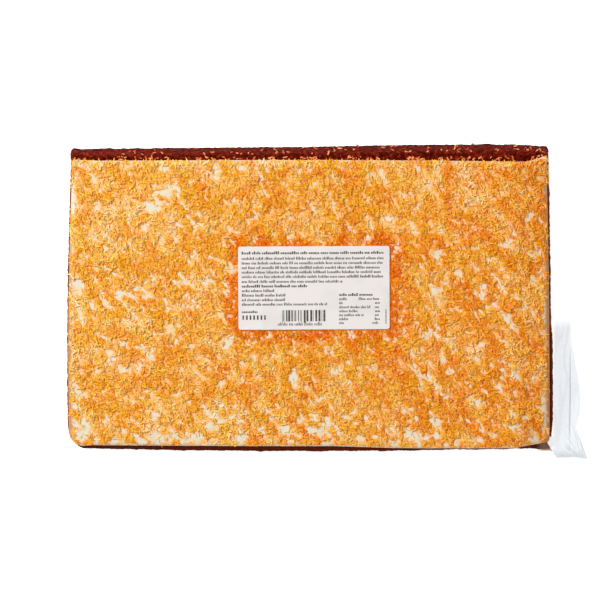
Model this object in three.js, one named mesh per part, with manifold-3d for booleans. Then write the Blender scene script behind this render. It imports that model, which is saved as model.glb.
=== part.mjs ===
// A sheet cake: one slab of brown sponge, a cream topping strewn with orange coconut shreds, a paper label
// that lies on the shreds, and the folded end of the clear film that the cake was wrapped in.
// Millimetres. +Z is up, +X runs along the long side, +Y points to the back.
// The origin is under the middle of the cake, on the surface that it stands on.

import * as THREE from "three";
import { mergeVertices } from "three/addons/utils/BufferGeometryUtils.js";
import Module from "manifold-3d";

// ---- Driving dimensions ----

const CAKE_LENGTH = 318.2;
const CAKE_WIDTH = 199;
const SPONGE_HEIGHT = 31;
const CREAM_HEIGHT = 7;
const CORNER_RADII = [1.3, 1.4, 13, 2.2]; // back right, back left, front left and front right
const END_TAPER = 1.9; // how far each end stands in at the back edge, and out at the front edge
const END_BOW_LEFT = 1.5; // how far each end bows out halfway along
const END_BOW_RIGHT = 0.6;
const FRONT_BOW = 2; // how far the front bows out in the middle
const FRONT_CORNER_FLARE = 2.2; // how far the front right corner is pressed out
const BACK_SKEW = 0.9; // how far the back edge runs out of square, at each end
// How far the back edge stands out past that, from its left end (-1) to its right end (1).
const BACK_BULGE = [
  [-1, -0.2],
  [-0.85, 0.2],
  [0, 0.55],
  [0.5, 1.5],
  [0.86, 1.5],
  [0.97, 0],
  [1, 0],
];
const TOUCH_GAP = 0.3; // between pieces that lie on each other

const END_DROOP = 6; // how far the right-hand corners sink where the wrapping pulled on them
const END_DROOP_LENGTH = 26;
const DROOP_AT_MIDDLE = 0.5; // share of the droop that is left halfway between those corners

const LABEL_LENGTH = 100;
const LABEL_WIDTH = 56;
const LABEL_THICKNESS = 0.4;
const LABEL_CORNER_RADIUS = 1.6;
const LABEL_CENTRE = [2.4, 11.4];
const LABEL_TURN = THREE.MathUtils.degToRad(0.3);

const SHRED_LENGTH = 4;
const SHRED_WIDTH = 1;
const SHRED_THICKNESS = 1.1;
const SHRED_MIDDLE = 0.12; // how far its middle lies above the surface that it is pressed into
const SHRED_SIZES = [0.75, 1.25]; // shortest and longest, as a share of the length
const SHREDS_ON_TOP = 250;
const SHREDS_ON_BACK = 30;

const FILM_THICKNESS = 0.8;
const FILM_FOLD = 11.2; // from the cake's end to the long fold
const FILM_BACK = -17.5; // where the folded end begins, along Y
const FILM_FRONT = -107.4; // where it ends past the cake's front corner
const FILM_TAIL = 3.6; // how far its outer part runs on past that
const FILM_CORNER = 1.8; // and its outermost corner past that

// ---- Colours and finishes ----

const spongeBrown = new THREE.MeshStandardMaterial({ color: "#5c2314", roughness: 0.95, metalness: 0 });
const creamIvory = new THREE.MeshStandardMaterial({ color: "#efdcb2", roughness: 0.6, metalness: 0 });
const labelWhite = new THREE.MeshStandardMaterial({ color: "#e6e5e2", roughness: 0.55, metalness: 0 });
const clearFilm = new THREE.MeshStandardMaterial({
  color: "#e9eef1",
  roughness: 0.15,
  metalness: 0,
  transparent: true,
  opacity: 0.45,
});

// ---- Helpers ----

const HALF_LENGTH = CAKE_LENGTH / 2;
const HALF_WIDTH = CAKE_WIDTH / 2;
const UP = new THREE.Vector3(0, 0, 1);
const { lerp, smoothstep } = THREE.MathUtils;

// A value read off a table of places and values, on straight lines between them.
function fromTable(table, place) {
  const next = table.findIndex(([at]) => at >= place);
  if (next <= 0) return table.at(Math.min(next, 0))[1];
  const [[start, from], [end, to]] = [table[next - 1], table[next]];
  return lerp(from, to, (place - start) / (end - start));
}

// A repeatable random number from 0 to 1.
function seededRandom(seed) {
  let state = seed;
  return () => {
    state = (state + 0x6d2b79f5) | 0;
    let mixed = Math.imul(state ^ (state >>> 15), 1 | state);
    mixed = (mixed + Math.imul(mixed ^ (mixed >>> 7), 61 | mixed)) ^ mixed;
    return ((mixed ^ (mixed >>> 14)) >>> 0) / 4294967296;
  };
}

// Points round a rectangle with rounded corners, anticlockwise from the middle of the right-hand end, the
// same number for every size. An inset draws all sides in and takes as much off each corner's radius.
const CORNER_STEPS = 3;
const LONG_SIDE_STEPS = 22;
const SHORT_SIDE_STEPS = 14;

function roundedRectangle(inset) {
  const signs = [
    [1, 1],
    [-1, 1],
    [-1, -1],
    [1, -1],
  ];
  const corners = signs.map(([right, back], quarter) => {
    const radius = Math.max(CORNER_RADII[quarter] - inset, 1);
    const x = right * (HALF_LENGTH - inset - radius);
    const y = back * (HALF_WIDTH - inset - radius);
    return (angle) => [x + radius * Math.cos(angle), y + radius * Math.sin(angle)];
  });
  return corners.flatMap((onCorner, quarter) => {
    const start = (quarter * Math.PI) / 2;
    const end = start + Math.PI / 2;
    const turns = Array.from({ length: CORNER_STEPS + 1 }, (_, i) => lerp(start, end, i / CORNER_STEPS));
    const from = onCorner(end);
    const to = corners[(quarter + 1) % 4](end);
    const steps = quarter % 2 ? SHORT_SIDE_STEPS : LONG_SIDE_STEPS;
    const side = Array.from({ length: steps - 1 }, (_, i) => [
      lerp(from[0], to[0], (i + 1) / steps),
      lerp(from[1], to[1], (i + 1) / steps),
    ]);
    return [...turns.map(onCorner), ...side];
  });
}

// The cake isn't cut quite square: its ends taper and bow, its front bows, its back edge is skewed and
// bulges, and the weight of the wrapping has pressed one corner out.
function outOfSquare([x, y]) {
  const along = x / HALF_LENGTH;
  const back = y / HALF_WIDTH;
  const bow = along > 0 ? END_BOW_RIGHT : END_BOW_LEFT;
  const ends = bow * Math.cos((back * Math.PI) / 2) - END_TAPER * back;
  const flare = FRONT_CORNER_FLARE * smoothstep(along, 0.86, 1);
  const front = FRONT_BOW * Math.cos((along * Math.PI) / 2) + flare;
  const behind = BACK_SKEW * along + fromTable(BACK_BULGE, along);
  return [x + ends * along, y + behind * Math.max(back, 0) + front * Math.min(back, 0)];
}

// A closed solid from rings of points that run anticlockwise, from the middle of the underside outwards,
// up the walls and in again over the top. Each diagonal starts on the wider ring, so that two solids with
// rings in common lie on each other without crossing.
function solidFromRings(rings) {
  const count = rings[0].length;
  const middle = (ring) => [0, 1, 2].map((axis) => ring.reduce((sum, p) => sum + p[axis], 0) / count);
  const points = [...rings.flat(), middle(rings[0]), middle(rings.at(-1))];
  const triangles = [];
  for (let k = 0; k < count; k++) {
    const next = (k + 1) % count;
    for (let i = 0; i < rings.length - 1; i++) {
      const low = i * count;
      const high = low + count;
      if (rings[i][0][0] >= rings[i + 1][0][0]) {
        triangles.push(low + k, low + next, high + next, low + k, high + next, high + k);
      } else {
        triangles.push(low + k, low + next, high + k, low + next, high + next, high + k);
      }
    }
    const top = (rings.length - 1) * count;
    triangles.push(next, k, points.length - 2);
    triangles.push(top + k, top + next, points.length - 1);
  }
  const geometry = new THREE.BufferGeometry();
  geometry.setAttribute("position", new THREE.Float32BufferAttribute(points.flat(), 3));
  geometry.setIndex(triangles);
  return geometry;
}

// ---- Where the cream sits on the sponge ----

const LEDGE_LEFT = 0.9;
const LEDGE_RIGHT = 1.8;

// The sponge shows as a ledge round the cream, from its left end (-1) to its right end (1). Along the front it
// is hardly there at the left corner, wide after that, narrow at the right, and wide again at the last corner,
// where the cream has slid back.
const FRONT_LEDGE = [
  [-1, 0.8],
  [-0.985, 0.8],
  [-0.92, 4],
  [-0.65, 4.6],
  [-0.15, 5],
  [0.1, 5],
  [0.35, 3.5],
  [0.7, 2.5],
  [0.86, 2.2],
  [0.92, 4.1],
  [0.97, 6.1],
  [1, 6.6],
];
const BACK_LEDGE = [
  [-1, 2.4],
  [-0.88, 3.6],
  [-0.2, 4],
  [0.1, 4.5],
  [0.4, 5.6],
  [0.7, 6.4],
  [0.86, 7],
  [0.92, 6.6],
  [0.965, 4.5],
  [1, 2.5],
];

// A ring of the cream's plan, a given distance in from its edge.
function creamPlan(inset) {
  return roundedRectangle(inset).map(([x, y]) => {
    const along = x / HALF_LENGTH;
    const across = y / HALF_WIDTH;
    const ledgeX = along > 0 ? LEDGE_RIGHT : LEDGE_LEFT;
    const ledgeY = fromTable(across > 0 ? BACK_LEDGE : FRONT_LEDGE, along);
    return outOfSquare([x - ledgeX * along, y - ledgeY * across]);
  });
}

// Height of the sponge's top, which sinks towards the right-hand corners.
function seatHeight(x, y) {
  const towardsEnd = smoothstep(x, HALF_LENGTH - END_DROOP_LENGTH, HALF_LENGTH);
  const towardsCorner = Math.min((y / HALF_WIDTH) ** 2, 1);
  return SPONGE_HEIGHT - END_DROOP * towardsEnd * lerp(DROOP_AT_MIDDLE, 1, towardsCorner);
}

const SEAT_INSETS = [0, 6, 14, 26, 42, 64, 88];

function seatRing(inset, lift) {
  return creamPlan(inset).map(([x, y]) => [x, y, seatHeight(x, y) + lift]);
}

// ---- Sponge ----

// Heights as a share of the sponge, and how far in from the cut plan the wall stands there: it bellies out
// a little at half height, and its lower and upper edges are rounded.
const SPONGE_WALL = [
  [0, 1.8],
  [0.04, 0.5],
  [0.2, -0.1],
  [0.45, -0.7],
  [0.7, -0.4],
  [0.9, 0],
  [0.98, 0.6],
];
const WALL_ROUGHNESS = 0.35;

function spongeGeometry() {
  const random = seededRandom(11);
  const walls = SPONGE_WALL.map(([share, inset]) =>
    roundedRectangle(inset).map((point) => {
      const [x, y] = outOfSquare(point);
      const pulled = share > 0 && share < 0.95 ? (WALL_ROUGHNESS * (random() - 0.5)) / HALF_WIDTH : 0;
      return [x * (1 + pulled / 2), y * (1 + pulled), seatHeight(x, y) * share];
    }),
  );
  return solidFromRings([...walls, ...SEAT_INSETS.map((inset) => seatRing(inset, 0))]);
}

// ---- Cream ----

// How far the cream's wall and rounded top edge stand in from its plan, and at what share of its height.
const CREAM_WALL = [
  [0.35, -0.3],
  [0.72, 0.1],
  [0.93, 1],
  [1, 3],
];
const TOP_INSETS = [7, 14, 24, 36, 50, 66, 82, 92];
const SPREAD_DEPTH = 0.3; // of the low waves that the spreading knife left

function creamSurface(x, y) {
  const waves = Math.sin(x / 13 + y / 29) + Math.sin(y / 11 - x / 47) * 0.8;
  return seatHeight(x, y) + CREAM_HEIGHT + (SPREAD_DEPTH * waves) / 1.8;
}

function creamGeometry() {
  const underside = SEAT_INSETS.toReversed().map((inset) => seatRing(inset, TOUCH_GAP));
  const walls = CREAM_WALL.map(([share, inset]) =>
    creamPlan(inset).map(([x, y]) => [x, y, lerp(seatHeight(x, y), creamSurface(x, y), share)]),
  );
  const top = TOP_INSETS.map((inset) => creamPlan(inset).map(([x, y]) => [x, y, creamSurface(x, y)]));
  return solidFromRings([...underside, ...walls, ...top]);
}

// ---- Coconut shreds ----

const SHRED_ENDS = [0.9, 0.5]; // how wide its two ends are, as a share of its width
const SHRED_BOW = 0.15; // how far its ends are set off sideways at most

// One shred: a short flat sliver, narrower at one end and set off sideways along its length.
function shredGeometry(random) {
  const length = SHRED_LENGTH * lerp(...SHRED_SIZES, random());
  const sliver = new THREE.BoxGeometry(length, SHRED_WIDTH, SHRED_THICKNESS);
  const bow = lerp(-SHRED_BOW, SHRED_BOW, random());
  const corner = sliver.attributes.position;
  for (let i = 0; i < corner.count; i++) {
    const end = corner.getX(i) > 0 ? 1 : 0;
    corner.setY(i, corner.getY(i) * SHRED_ENDS[end] + (end ? bow : -bow));
  }
  return sliver;
}

// A shred where a ray meets a surface, laid flat on the face there and turned at random.
function shredOn(surface, origin, direction, random) {
  const [hit] = new THREE.Raycaster(origin, direction).intersectObject(surface);
  const flat = new THREE.Quaternion().setFromUnitVectors(UP, hit.face.normal);
  const spin = new THREE.Quaternion().setFromAxisAngle(UP, random() * Math.PI);
  const middle = hit.point.addScaledVector(hit.face.normal, SHRED_MIDDLE);
  const laid = new THREE.Matrix4().compose(middle, flat.multiply(spin), new THREE.Vector3(1, 1, 1));
  return shredGeometry(random).applyMatrix4(laid);
}

const EDGE_CLEARANCE = 5; // shreds on the top keep this far in from the cream's edge
const CELL_MARGIN = 0.15; // and this share of a grid cell away from their neighbours' cells

// One shred in each cell of an even grid over the top, off its middle by chance.
function shredsOnTop(creamMesh) {
  const random = seededRandom(23);
  const length = CAKE_LENGTH - 2 * EDGE_CLEARANCE - LEDGE_LEFT - LEDGE_RIGHT;
  const width = CAKE_WIDTH - 2 * EDGE_CLEARANCE - fromTable(FRONT_LEDGE, 0) - fromTable(BACK_LEDGE, 0);
  const cell = Math.sqrt((length * width) / SHREDS_ON_TOP);
  const columns = Math.round(length / cell);
  const rows = Math.round(width / cell);
  const place = (index, count) => (index + lerp(CELL_MARGIN, 1 - CELL_MARGIN, random())) / count - 0.5;
  const shreds = [];
  for (let column = 0; column < columns; column++) {
    for (let row = 0; row < rows; row++) {
      const x = place(column, columns) * length;
      const above = new THREE.Vector3(x, place(row, rows) * width, CAKE_LENGTH);
      shreds.push(shredOn(creamMesh, above, new THREE.Vector3(0, 0, -1), random));
    }
  }
  return shreds;
}

const BACK_SHRED_HEIGHTS = [6, 22];
const BACK_SHRED_REACH = 0.93; // share of the back's length that they take up

// Shreds that fell down the back and stuck to the sponge, more of them towards the right.
function shredsOnBack(spongeMesh) {
  const random = seededRandom(37);
  return Array.from({ length: SHREDS_ON_BACK }, (_, i) => {
    const along = Math.sqrt((i + random()) / SHREDS_ON_BACK);
    const x = lerp(-BACK_SHRED_REACH, BACK_SHRED_REACH, along) * HALF_LENGTH;
    const behind = new THREE.Vector3(x, CAKE_WIDTH, lerp(...BACK_SHRED_HEIGHTS, random()));
    return shredOn(spongeMesh, behind, new THREE.Vector3(0, -1, 0), random);
  });
}

// ---- Label ----

const SHRED_TOPS = SPONGE_HEIGHT + CREAM_HEIGHT + SPREAD_DEPTH + SHRED_MIDDLE + SHRED_THICKNESS / 2;

function labelGeometry() {
  const [right, back, radius] = [LABEL_LENGTH / 2, LABEL_WIDTH / 2, LABEL_CORNER_RADIUS];
  const outline = new THREE.Shape();
  outline.absarc(right - radius, back - radius, radius, 0, Math.PI / 2);
  outline.absarc(radius - right, back - radius, radius, Math.PI / 2, Math.PI);
  outline.absarc(radius - right, radius - back, radius, Math.PI, 1.5 * Math.PI);
  outline.absarc(right - radius, radius - back, radius, 1.5 * Math.PI, 2 * Math.PI);
  const sheet = { depth: LABEL_THICKNESS, bevelEnabled: false, curveSegments: 5 };
  return new THREE.ExtrudeGeometry(outline, sheet);
}

// ---- Film ----

// The film lies against the right-hand end of the cake, turns out along the surface below, rises to the
// long fold and drops again to its outer edge. Each entry is a distance out from the cake, a height, and a
// share of the way from the fold to the outer edge.
const FILM_PROFILE = [
  [0, 33, 0],
  [0, 24, 0],
  [0, 14, 0],
  [1, 7.5, 0],
  [3.8, 5, 0],
  [7.4, 4.4, 0],
  [FILM_FOLD - 0.8, 5.2, 0],
  [FILM_FOLD, 4.4, 0],
  [FILM_FOLD, 2.6, 0.25],
  [FILM_FOLD, 1.5, 0.6],
  [FILM_FOLD, 0.9, 1],
];
const FILM_STEPS = 16;
const FILM_CLEARANCE = 1.25; // to the line of the corners, past which the wall bellies out
const FILM_BELLY = 6.3; // how far the outer layer bulges past the fold, halfway along
const FILM_FLARE = 8.2; // how far its front corner flares out past that
const FILM_RIPPLE = 0.35;

// A point of the film's middle surface: t runs from back to front, and a profile entry says how far out.
function filmPoint(t, [out, height, beyond]) {
  const belly = FILM_BELLY * smoothstep(t, 0.08, 0.58) * (1 - 0.4 * smoothstep(t, 0.62, 0.82));
  const outer = 0.6 + belly + FILM_FLARE * Math.max((t - 0.79) / 0.21, 0);
  const reach = out + beyond * outer;
  const front = FILM_FRONT - FILM_TAIL * smoothstep(reach, 0, 3) - FILM_CORNER * smoothstep(reach, 12, 24);
  const ripple = FILM_RIPPLE * Math.sin(t * 17 + reach / 2.3) * smoothstep(reach, 3, 8);
  const wall = HALF_LENGTH + END_TAPER + FILM_CLEARANCE + FILM_THICKNESS / 2;
  const wallTop = reach === 0 ? 1 - 0.12 * smoothstep(t, 0.9, 1) : 1;
  return new THREE.Vector3(wall + reach, lerp(FILM_BACK, front, t), height * wallTop + ripple);
}

// The middle surface is given its thickness along its normals, and closed round its edge.
function filmGeometry() {
  const columns = FILM_PROFILE.length;
  const rows = FILM_STEPS + 1;
  const middle = Array.from({ length: rows }, (_, row) =>
    FILM_PROFILE.map((entry) => filmPoint(row / FILM_STEPS, entry)),
  );
  const skin = (side) =>
    middle.flatMap((line, row) =>
      line.map((point, column) => {
        const across = new THREE.Vector3().subVectors(
          line[Math.min(column + 1, columns - 1)],
          line[Math.max(column - 1, 0)],
        );
        const along = new THREE.Vector3().subVectors(
          middle[Math.min(row + 1, rows - 1)][column],
          middle[Math.max(row - 1, 0)][column],
        );
        const normal = across.cross(along).normalize();
        return point.clone().addScaledVector(normal, (-side * FILM_THICKNESS) / 2);
      }),
    );
  const points = [...skin(1), ...skin(-1)];
  const under = rows * columns;
  const index = (row, column) => row * columns + column;
  const triangles = [];
  const quad = (a, b, c, d) => triangles.push(a, b, c, a, c, d);
  for (let row = 0; row < rows - 1; row++) {
    for (let column = 0; column < columns - 1; column++) {
      const [a, b] = [index(row, column), index(row, column + 1)];
      const [c, d] = [index(row + 1, column + 1), index(row + 1, column)];
      quad(a, d, c, b);
      quad(under + a, under + b, under + c, under + d);
    }
  }
  for (let row = 0; row < rows - 1; row++) {
    const [a, b] = [index(row, 0), index(row + 1, 0)];
    const [c, d] = [index(row, columns - 1), index(row + 1, columns - 1)];
    quad(a, under + a, under + b, b);
    quad(c, d, under + d, under + c);
  }
  for (let column = 0; column < columns - 1; column++) {
    const [a, b] = [index(0, column), index(0, column + 1)];
    const [c, d] = [index(rows - 1, column), index(rows - 1, column + 1)];
    quad(a, b, under + b, under + a);
    quad(c, under + c, under + d, d);
  }
  const corners = points.flatMap((point) => point.toArray());
  const geometry = new THREE.BufferGeometry();
  geometry.setAttribute("position", new THREE.Float32BufferAttribute(corners, 3));
  geometry.setIndex(triangles);
  return geometry;
}

// ---- Joining the shreds to what they lie on ----

const wasm = await Module();
wasm.setup();

function toSolid(geometry) {
  const bare = geometry.clone();
  bare.deleteAttribute("normal");
  bare.deleteAttribute("uv");
  const merged = mergeVertices(bare, 1e-4);
  return new wasm.Manifold(
    new wasm.Mesh({
      numProp: 3,
      vertProperties: new Float32Array(merged.attributes.position.array),
      triVerts: new Uint32Array(merged.index.array),
    }),
  );
}

// The base with its shreds fused on. Nothing loose may be left beside it.
function fuse(base, shreds) {
  const joined = shreds.reduce((solid, shred) => solid.add(toSolid(shred)), toSolid(base));
  const largest = joined.decompose().sort((a, b) => b.volume() - a.volume())[0];
  const mesh = largest.getMesh();
  const geometry = new THREE.BufferGeometry();
  geometry.setAttribute("position", new THREE.BufferAttribute(mesh.vertProperties, mesh.numProp));
  geometry.setIndex(new THREE.BufferAttribute(mesh.triVerts, 1));
  return geometry;
}

// ---- The cake ----

function namedMesh(name, geometry, material) {
  const mesh = new THREE.Mesh(geometry, material);
  mesh.name = name;
  return mesh;
}

// A plain surface for rays to meet.
function rayTarget(geometry) {
  const target = new THREE.Mesh(geometry, creamIvory);
  target.updateMatrixWorld(true);
  return target;
}

const bareSponge = spongeGeometry();
const bareCream = creamGeometry();

const sponge = namedMesh("sponge", fuse(bareSponge, shredsOnBack(rayTarget(bareSponge))), spongeBrown);
const cream = namedMesh("cream_topping", fuse(bareCream, shredsOnTop(rayTarget(bareCream))), creamIvory);

const label = namedMesh("label", labelGeometry(), labelWhite);
label.position.set(...LABEL_CENTRE, SHRED_TOPS + TOUCH_GAP);
label.rotation.z = LABEL_TURN;

const film = namedMesh("film_end", filmGeometry(), clearFilm);

const sheetCake = new THREE.Group();
sheetCake.add(sponge, cream, label, film);

export default sheetCake;
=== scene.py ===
# A sheet cake on a white table, seen from nearly straight above: a slab of dark sponge, a spread of cream,
# tens of thousands of dyed coconut shreds, a printed paper label, and the folded end of the film that it
# was wrapped in. The pieces follow in the order in which the cake is put together. Sizes are in millimetres
# until a mesh is made, and MM turns them into the frame's metres.

import math

import bmesh
import bpy
import numpy as np
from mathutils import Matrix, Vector, noise
from mathutils.bvhtree import BVHTree


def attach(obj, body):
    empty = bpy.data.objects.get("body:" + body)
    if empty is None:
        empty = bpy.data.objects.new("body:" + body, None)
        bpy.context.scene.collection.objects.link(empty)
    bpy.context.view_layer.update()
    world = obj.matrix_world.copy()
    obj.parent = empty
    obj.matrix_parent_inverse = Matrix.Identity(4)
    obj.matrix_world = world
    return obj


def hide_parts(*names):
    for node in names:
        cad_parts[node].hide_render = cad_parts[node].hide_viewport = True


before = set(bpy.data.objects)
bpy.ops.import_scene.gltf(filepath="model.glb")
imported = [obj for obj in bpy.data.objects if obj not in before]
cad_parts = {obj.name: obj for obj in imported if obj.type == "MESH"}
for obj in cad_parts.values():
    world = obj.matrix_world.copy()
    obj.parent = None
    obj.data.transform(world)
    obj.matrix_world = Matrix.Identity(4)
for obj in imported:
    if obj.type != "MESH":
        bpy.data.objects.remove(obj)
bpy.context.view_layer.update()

MM = 0.001

# ---- The sponge ----
# One slab of carrot sponge, baked in a tray and cut with a long knife, so that its walls show the open crumb
# above a thin dark base crust, painted darker still as shade at the foot. It isn't quite square, and its
# right-hand end has been pressed down.

HALF_LENGTH = 318.2 / 2
HALF_WIDTH = 199 / 2
SPONGE_HEIGHT = 31
CORNER_RADII = (1.3, 1.4, 13, 2.2)  # from the back right corner, anticlockwise
END_TAPER = 1.9
END_BOW_LEFT = 1.5
END_BOW_RIGHT = 0.6
FRONT_BOW = 2
FRONT_CORNER_FLARE = 2.2
FLARE_FROM = 0.86  # of the half length
BACK_SKEW = 0.9
END_DROOP = 6
END_DROOP_LENGTH = 26
DROOP_AT_MIDDLE = 0.5
LEDGE_LEFT = 0.9
LEDGE_RIGHT = 1.8
# Tables of how far something stands out, from the left end (-1) to the right end (1).
BACK_BULGE = ((-1, -0.2), (-0.85, 0.2), (0, 0.55), (0.5, 1.5), (0.86, 1.5), (0.97, 0), (1, 0))
FRONT_LEDGE = ((-1, 0.8), (-0.985, 0.8), (-0.92, 4), (-0.65, 4.6), (-0.15, 5), (0.1, 5), (0.35, 3.5),
               (0.7, 2.5), (0.86, 2.2), (0.92, 4.1), (0.97, 6.1), (1, 6.6))
BACK_LEDGE = ((-1, 2.4), (-0.88, 3.6), (-0.2, 4), (0.1, 4.5), (0.4, 5.6), (0.7, 6.4), (0.86, 7), (0.92, 6.6),
              (0.965, 4.5), (1, 2.5))

# Shares of the height, and how far in from the cut the wall stands there.
SPONGE_WALL = ((0, 1.8), (0.04, 0.5), (0.2, -0.1), (0.45, -0.7), (0.7, -0.4), (0.9, 0), (0.98, 0.6))
WALL_STEPS = 33
BRIM_STEPS = 5  # over these last steps the wall takes on the ledge's painted light, at the front and the right-hand end
LEDGE_STEPS = 5
LEDGE_RISE = 0.4  # the most that one step of the ledge rises
SEAT_INSETS = (1.5, 3, 6, 14, 26, 42, 64, 88)
SPONGE_STEPS = (340, 214, 7)  # along the long sides, along the ends, round each corner
# The right end swells between two distances from the middle and is trimmed elsewhere, and the back left
# corner is drawn out. Each pair says where a change begins and where it is complete.
RIGHT_END = (154, 158)
SWELL_BEGINS = (10, 30)
SWELL_ENDS = (84, 92)
RIGHT_TRIM = 0.4
LEFT_END = (150, 158)
BACK_SIDE = (90, 98)
BACK_LEFT_SHIFT = (-0.7, 0.6)
CRUST_TOP = (0.3, 2.5)  # heights over which the smooth crust gives way to open crumb
SEAT_RIM = (5, 7)  # distances in from the cut over which the crumb gives way to the smooth seat
CRUMB_DEPTH = 1.1
CRUMB_SIZE = 1.9
CRUMB_LEVEL = 0.55  # lighter spots of the noise than this stand out, and darker ones lie back
TEAR_DEPTH = 1.5
TEAR_SIZE = 7


def smoothstep(value, start, end):
    share = np.clip((value - start) / (end - start), 0, 1)
    return share * share * (3 - 2 * share)


def cut_plan(inset, steps):
    """Points round the cake as it would be if cut square, anticlockwise, drawn in by an inset."""
    arcs = []
    for quarter, (right, back) in enumerate(((1, 1), (-1, 1), (-1, -1), (1, -1))):
        radius = max(CORNER_RADII[quarter] - inset, 1)
        middle = np.array([right * (HALF_LENGTH - inset - radius), back * (HALF_WIDTH - inset - radius)])
        angle = np.linspace(quarter, quarter + 1, steps[2] + 1) * math.pi / 2
        arcs.append(middle + radius * np.column_stack([np.cos(angle), np.sin(angle)]))
    ring = []
    for quarter, arc in enumerate(arcs):
        pieces = steps[quarter % 2]
        share = np.arange(1, pieces)[:, None] / pieces
        ring += [arc, arc[-1] + share * (arcs[(quarter + 1) % 4][0] - arc[-1])]
    return np.concatenate(ring)


def out_of_square(points):
    """The same points as the knife left them: ends tapered and bowed, front bowed, back edge skewed."""
    x, y = points.T
    along, back = x / HALF_LENGTH, y / HALF_WIDTH
    ends = np.where(x > 0, END_BOW_RIGHT, END_BOW_LEFT) * np.cos(back * math.pi / 2) - END_TAPER * back
    front = FRONT_BOW * np.cos(along * math.pi / 2) + FRONT_CORNER_FLARE * smoothstep(along, FLARE_FROM, 1)
    behind = BACK_SKEW * along + np.interp(along, *zip(*BACK_BULGE))
    moved_y = y + behind * np.maximum(back, 0) + front * np.minimum(back, 0)
    return np.column_stack([x + ends * along, moved_y])


def cream_plan(inset, steps):
    """Points round the cream, which leaves a ledge of sponge, as wide as the ledge tables say."""
    x, y = cut_plan(inset, steps).T
    along, across = x / HALF_LENGTH, y / HALF_WIDTH
    ledge_x = np.where(along > 0, LEDGE_RIGHT, LEDGE_LEFT)
    ledge_y = np.where(across > 0, np.interp(along, *zip(*BACK_LEDGE)), np.interp(along, *zip(*FRONT_LEDGE)))
    return out_of_square(np.column_stack([x - ledge_x * along, y - ledge_y * across]))


def seat_height(x, y):
    """Height of the sponge's top, on which the cream lies."""
    corner = np.minimum((y / HALF_WIDTH) ** 2, 1)
    droop = DROOP_AT_MIDDLE + (1 - DROOP_AT_MIDDLE) * corner
    return SPONGE_HEIGHT - END_DROOP * smoothstep(x, HALF_LENGTH - END_DROOP_LENGTH, HALF_LENGTH) * droop


def with_height(plan, height):
    return np.column_stack([plan, np.broadcast_to(height, len(plan))])


def slab(name, rings):
    """A solid slab: a flat base cut to the first ring, extruded to each further ring, closed at the last."""
    bpy.ops.object.select_all(action="DESELECT")
    bpy.ops.mesh.primitive_circle_add(vertices=len(rings[0]), radius=HALF_LENGTH * MM, fill_type="NGON")
    made = bpy.context.object
    made.name = name
    bpy.ops.object.mode_set(mode="EDIT")
    shape = bmesh.from_edit_mesh(made.data)
    place = shape.verts.layers.int.new("place round the edge")
    for number, corner in enumerate(shape.verts):
        corner[place] = number
    for number, ring in enumerate(rings):
        if number:
            bpy.ops.mesh.extrude_region_move()
            shape = bmesh.from_edit_mesh(made.data)
            place = shape.verts.layers.int["place round the edge"]
        for corner in shape.verts:
            if corner.select:
                corner.co = ring[corner[place]] * MM
    bmesh.update_edit_mesh(made.data)
    bpy.ops.mesh.select_all(action="SELECT")
    bpy.ops.mesh.normals_make_consistent(inside=False)
    bpy.ops.object.mode_set(mode="OBJECT")
    made.data.attributes.remove(made.data.attributes["place round the edge"])
    return made


def points_of(piece):
    """The corners of a piece's mesh in millimetres."""
    corners = np.empty(len(piece.data.vertices) * 3, np.float32)
    piece.data.vertices.foreach_get("co", corners)
    return corners.reshape(-1, 3).astype(float) / MM


def move_points(piece, points):
    piece.data.vertices.foreach_set("co", (points * MM).astype(np.float32).ravel())
    piece.data.update()


def apply_modifier(piece, kind, settings):
    """Adds a modifier with these settings to a piece, and makes what it does part of the mesh."""
    bpy.ops.object.select_all(action="DESELECT")
    bpy.context.view_layer.objects.active = piece
    piece.select_set(True)
    bpy.ops.object.modifier_add(type=kind)
    modifier = piece.modifiers[-1]
    for name, setting in settings.items():
        setattr(modifier, name, setting)
    bpy.ops.object.modifier_apply(modifier=modifier.name)


def roughen(piece, name, size, depth, weights, level=0.5):
    """Displaces a piece by a cloudy solid texture, as far as the weights of its corners say."""
    group = piece.vertex_groups.new(name=name)
    for tenth in range(1, 11):
        chosen = np.flatnonzero(np.round(weights * 10) == tenth)
        group.add(chosen.tolist(), tenth / 10, "REPLACE")
    texture = bpy.data.textures.new(name, "CLOUDS")
    texture.noise_scale = size * MM
    apply_modifier(piece, "DISPLACE", {
        "texture": texture,
        "texture_coords": "LOCAL",
        "vertex_group": group.name,
        "mid_level": level,
        "strength": depth * MM,
    })
    piece.vertex_groups.remove(piece.vertex_groups[name])


wall_share = np.linspace(0, SPONGE_WALL[-1][0], WALL_STEPS)
wall_inset = np.interp(wall_share, *zip(*SPONGE_WALL))
sponge_rings = []
for share, inset in zip(wall_share, wall_inset):
    plan = out_of_square(cut_plan(inset, SPONGE_STEPS))
    sponge_rings.append(with_height(plan, seat_height(*plan.T) * share))
brim = sponge_rings[-1]
edge = cream_plan(0, SPONGE_STEPS)
edge = with_height(edge, seat_height(*edge.T))
for step in range(1, LEDGE_STEPS + 1):
    inward = brim + (edge - brim) * step / LEDGE_STEPS
    inward[:, 2] = np.minimum(seat_height(*inward[:, :2].T), brim[:, 2] + LEDGE_RISE * step)
    sponge_rings.append(inward)
for inset in SEAT_INSETS:
    plan = cream_plan(inset, SPONGE_STEPS)
    sponge_rings.append(with_height(plan, seat_height(*plan.T)))

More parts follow.
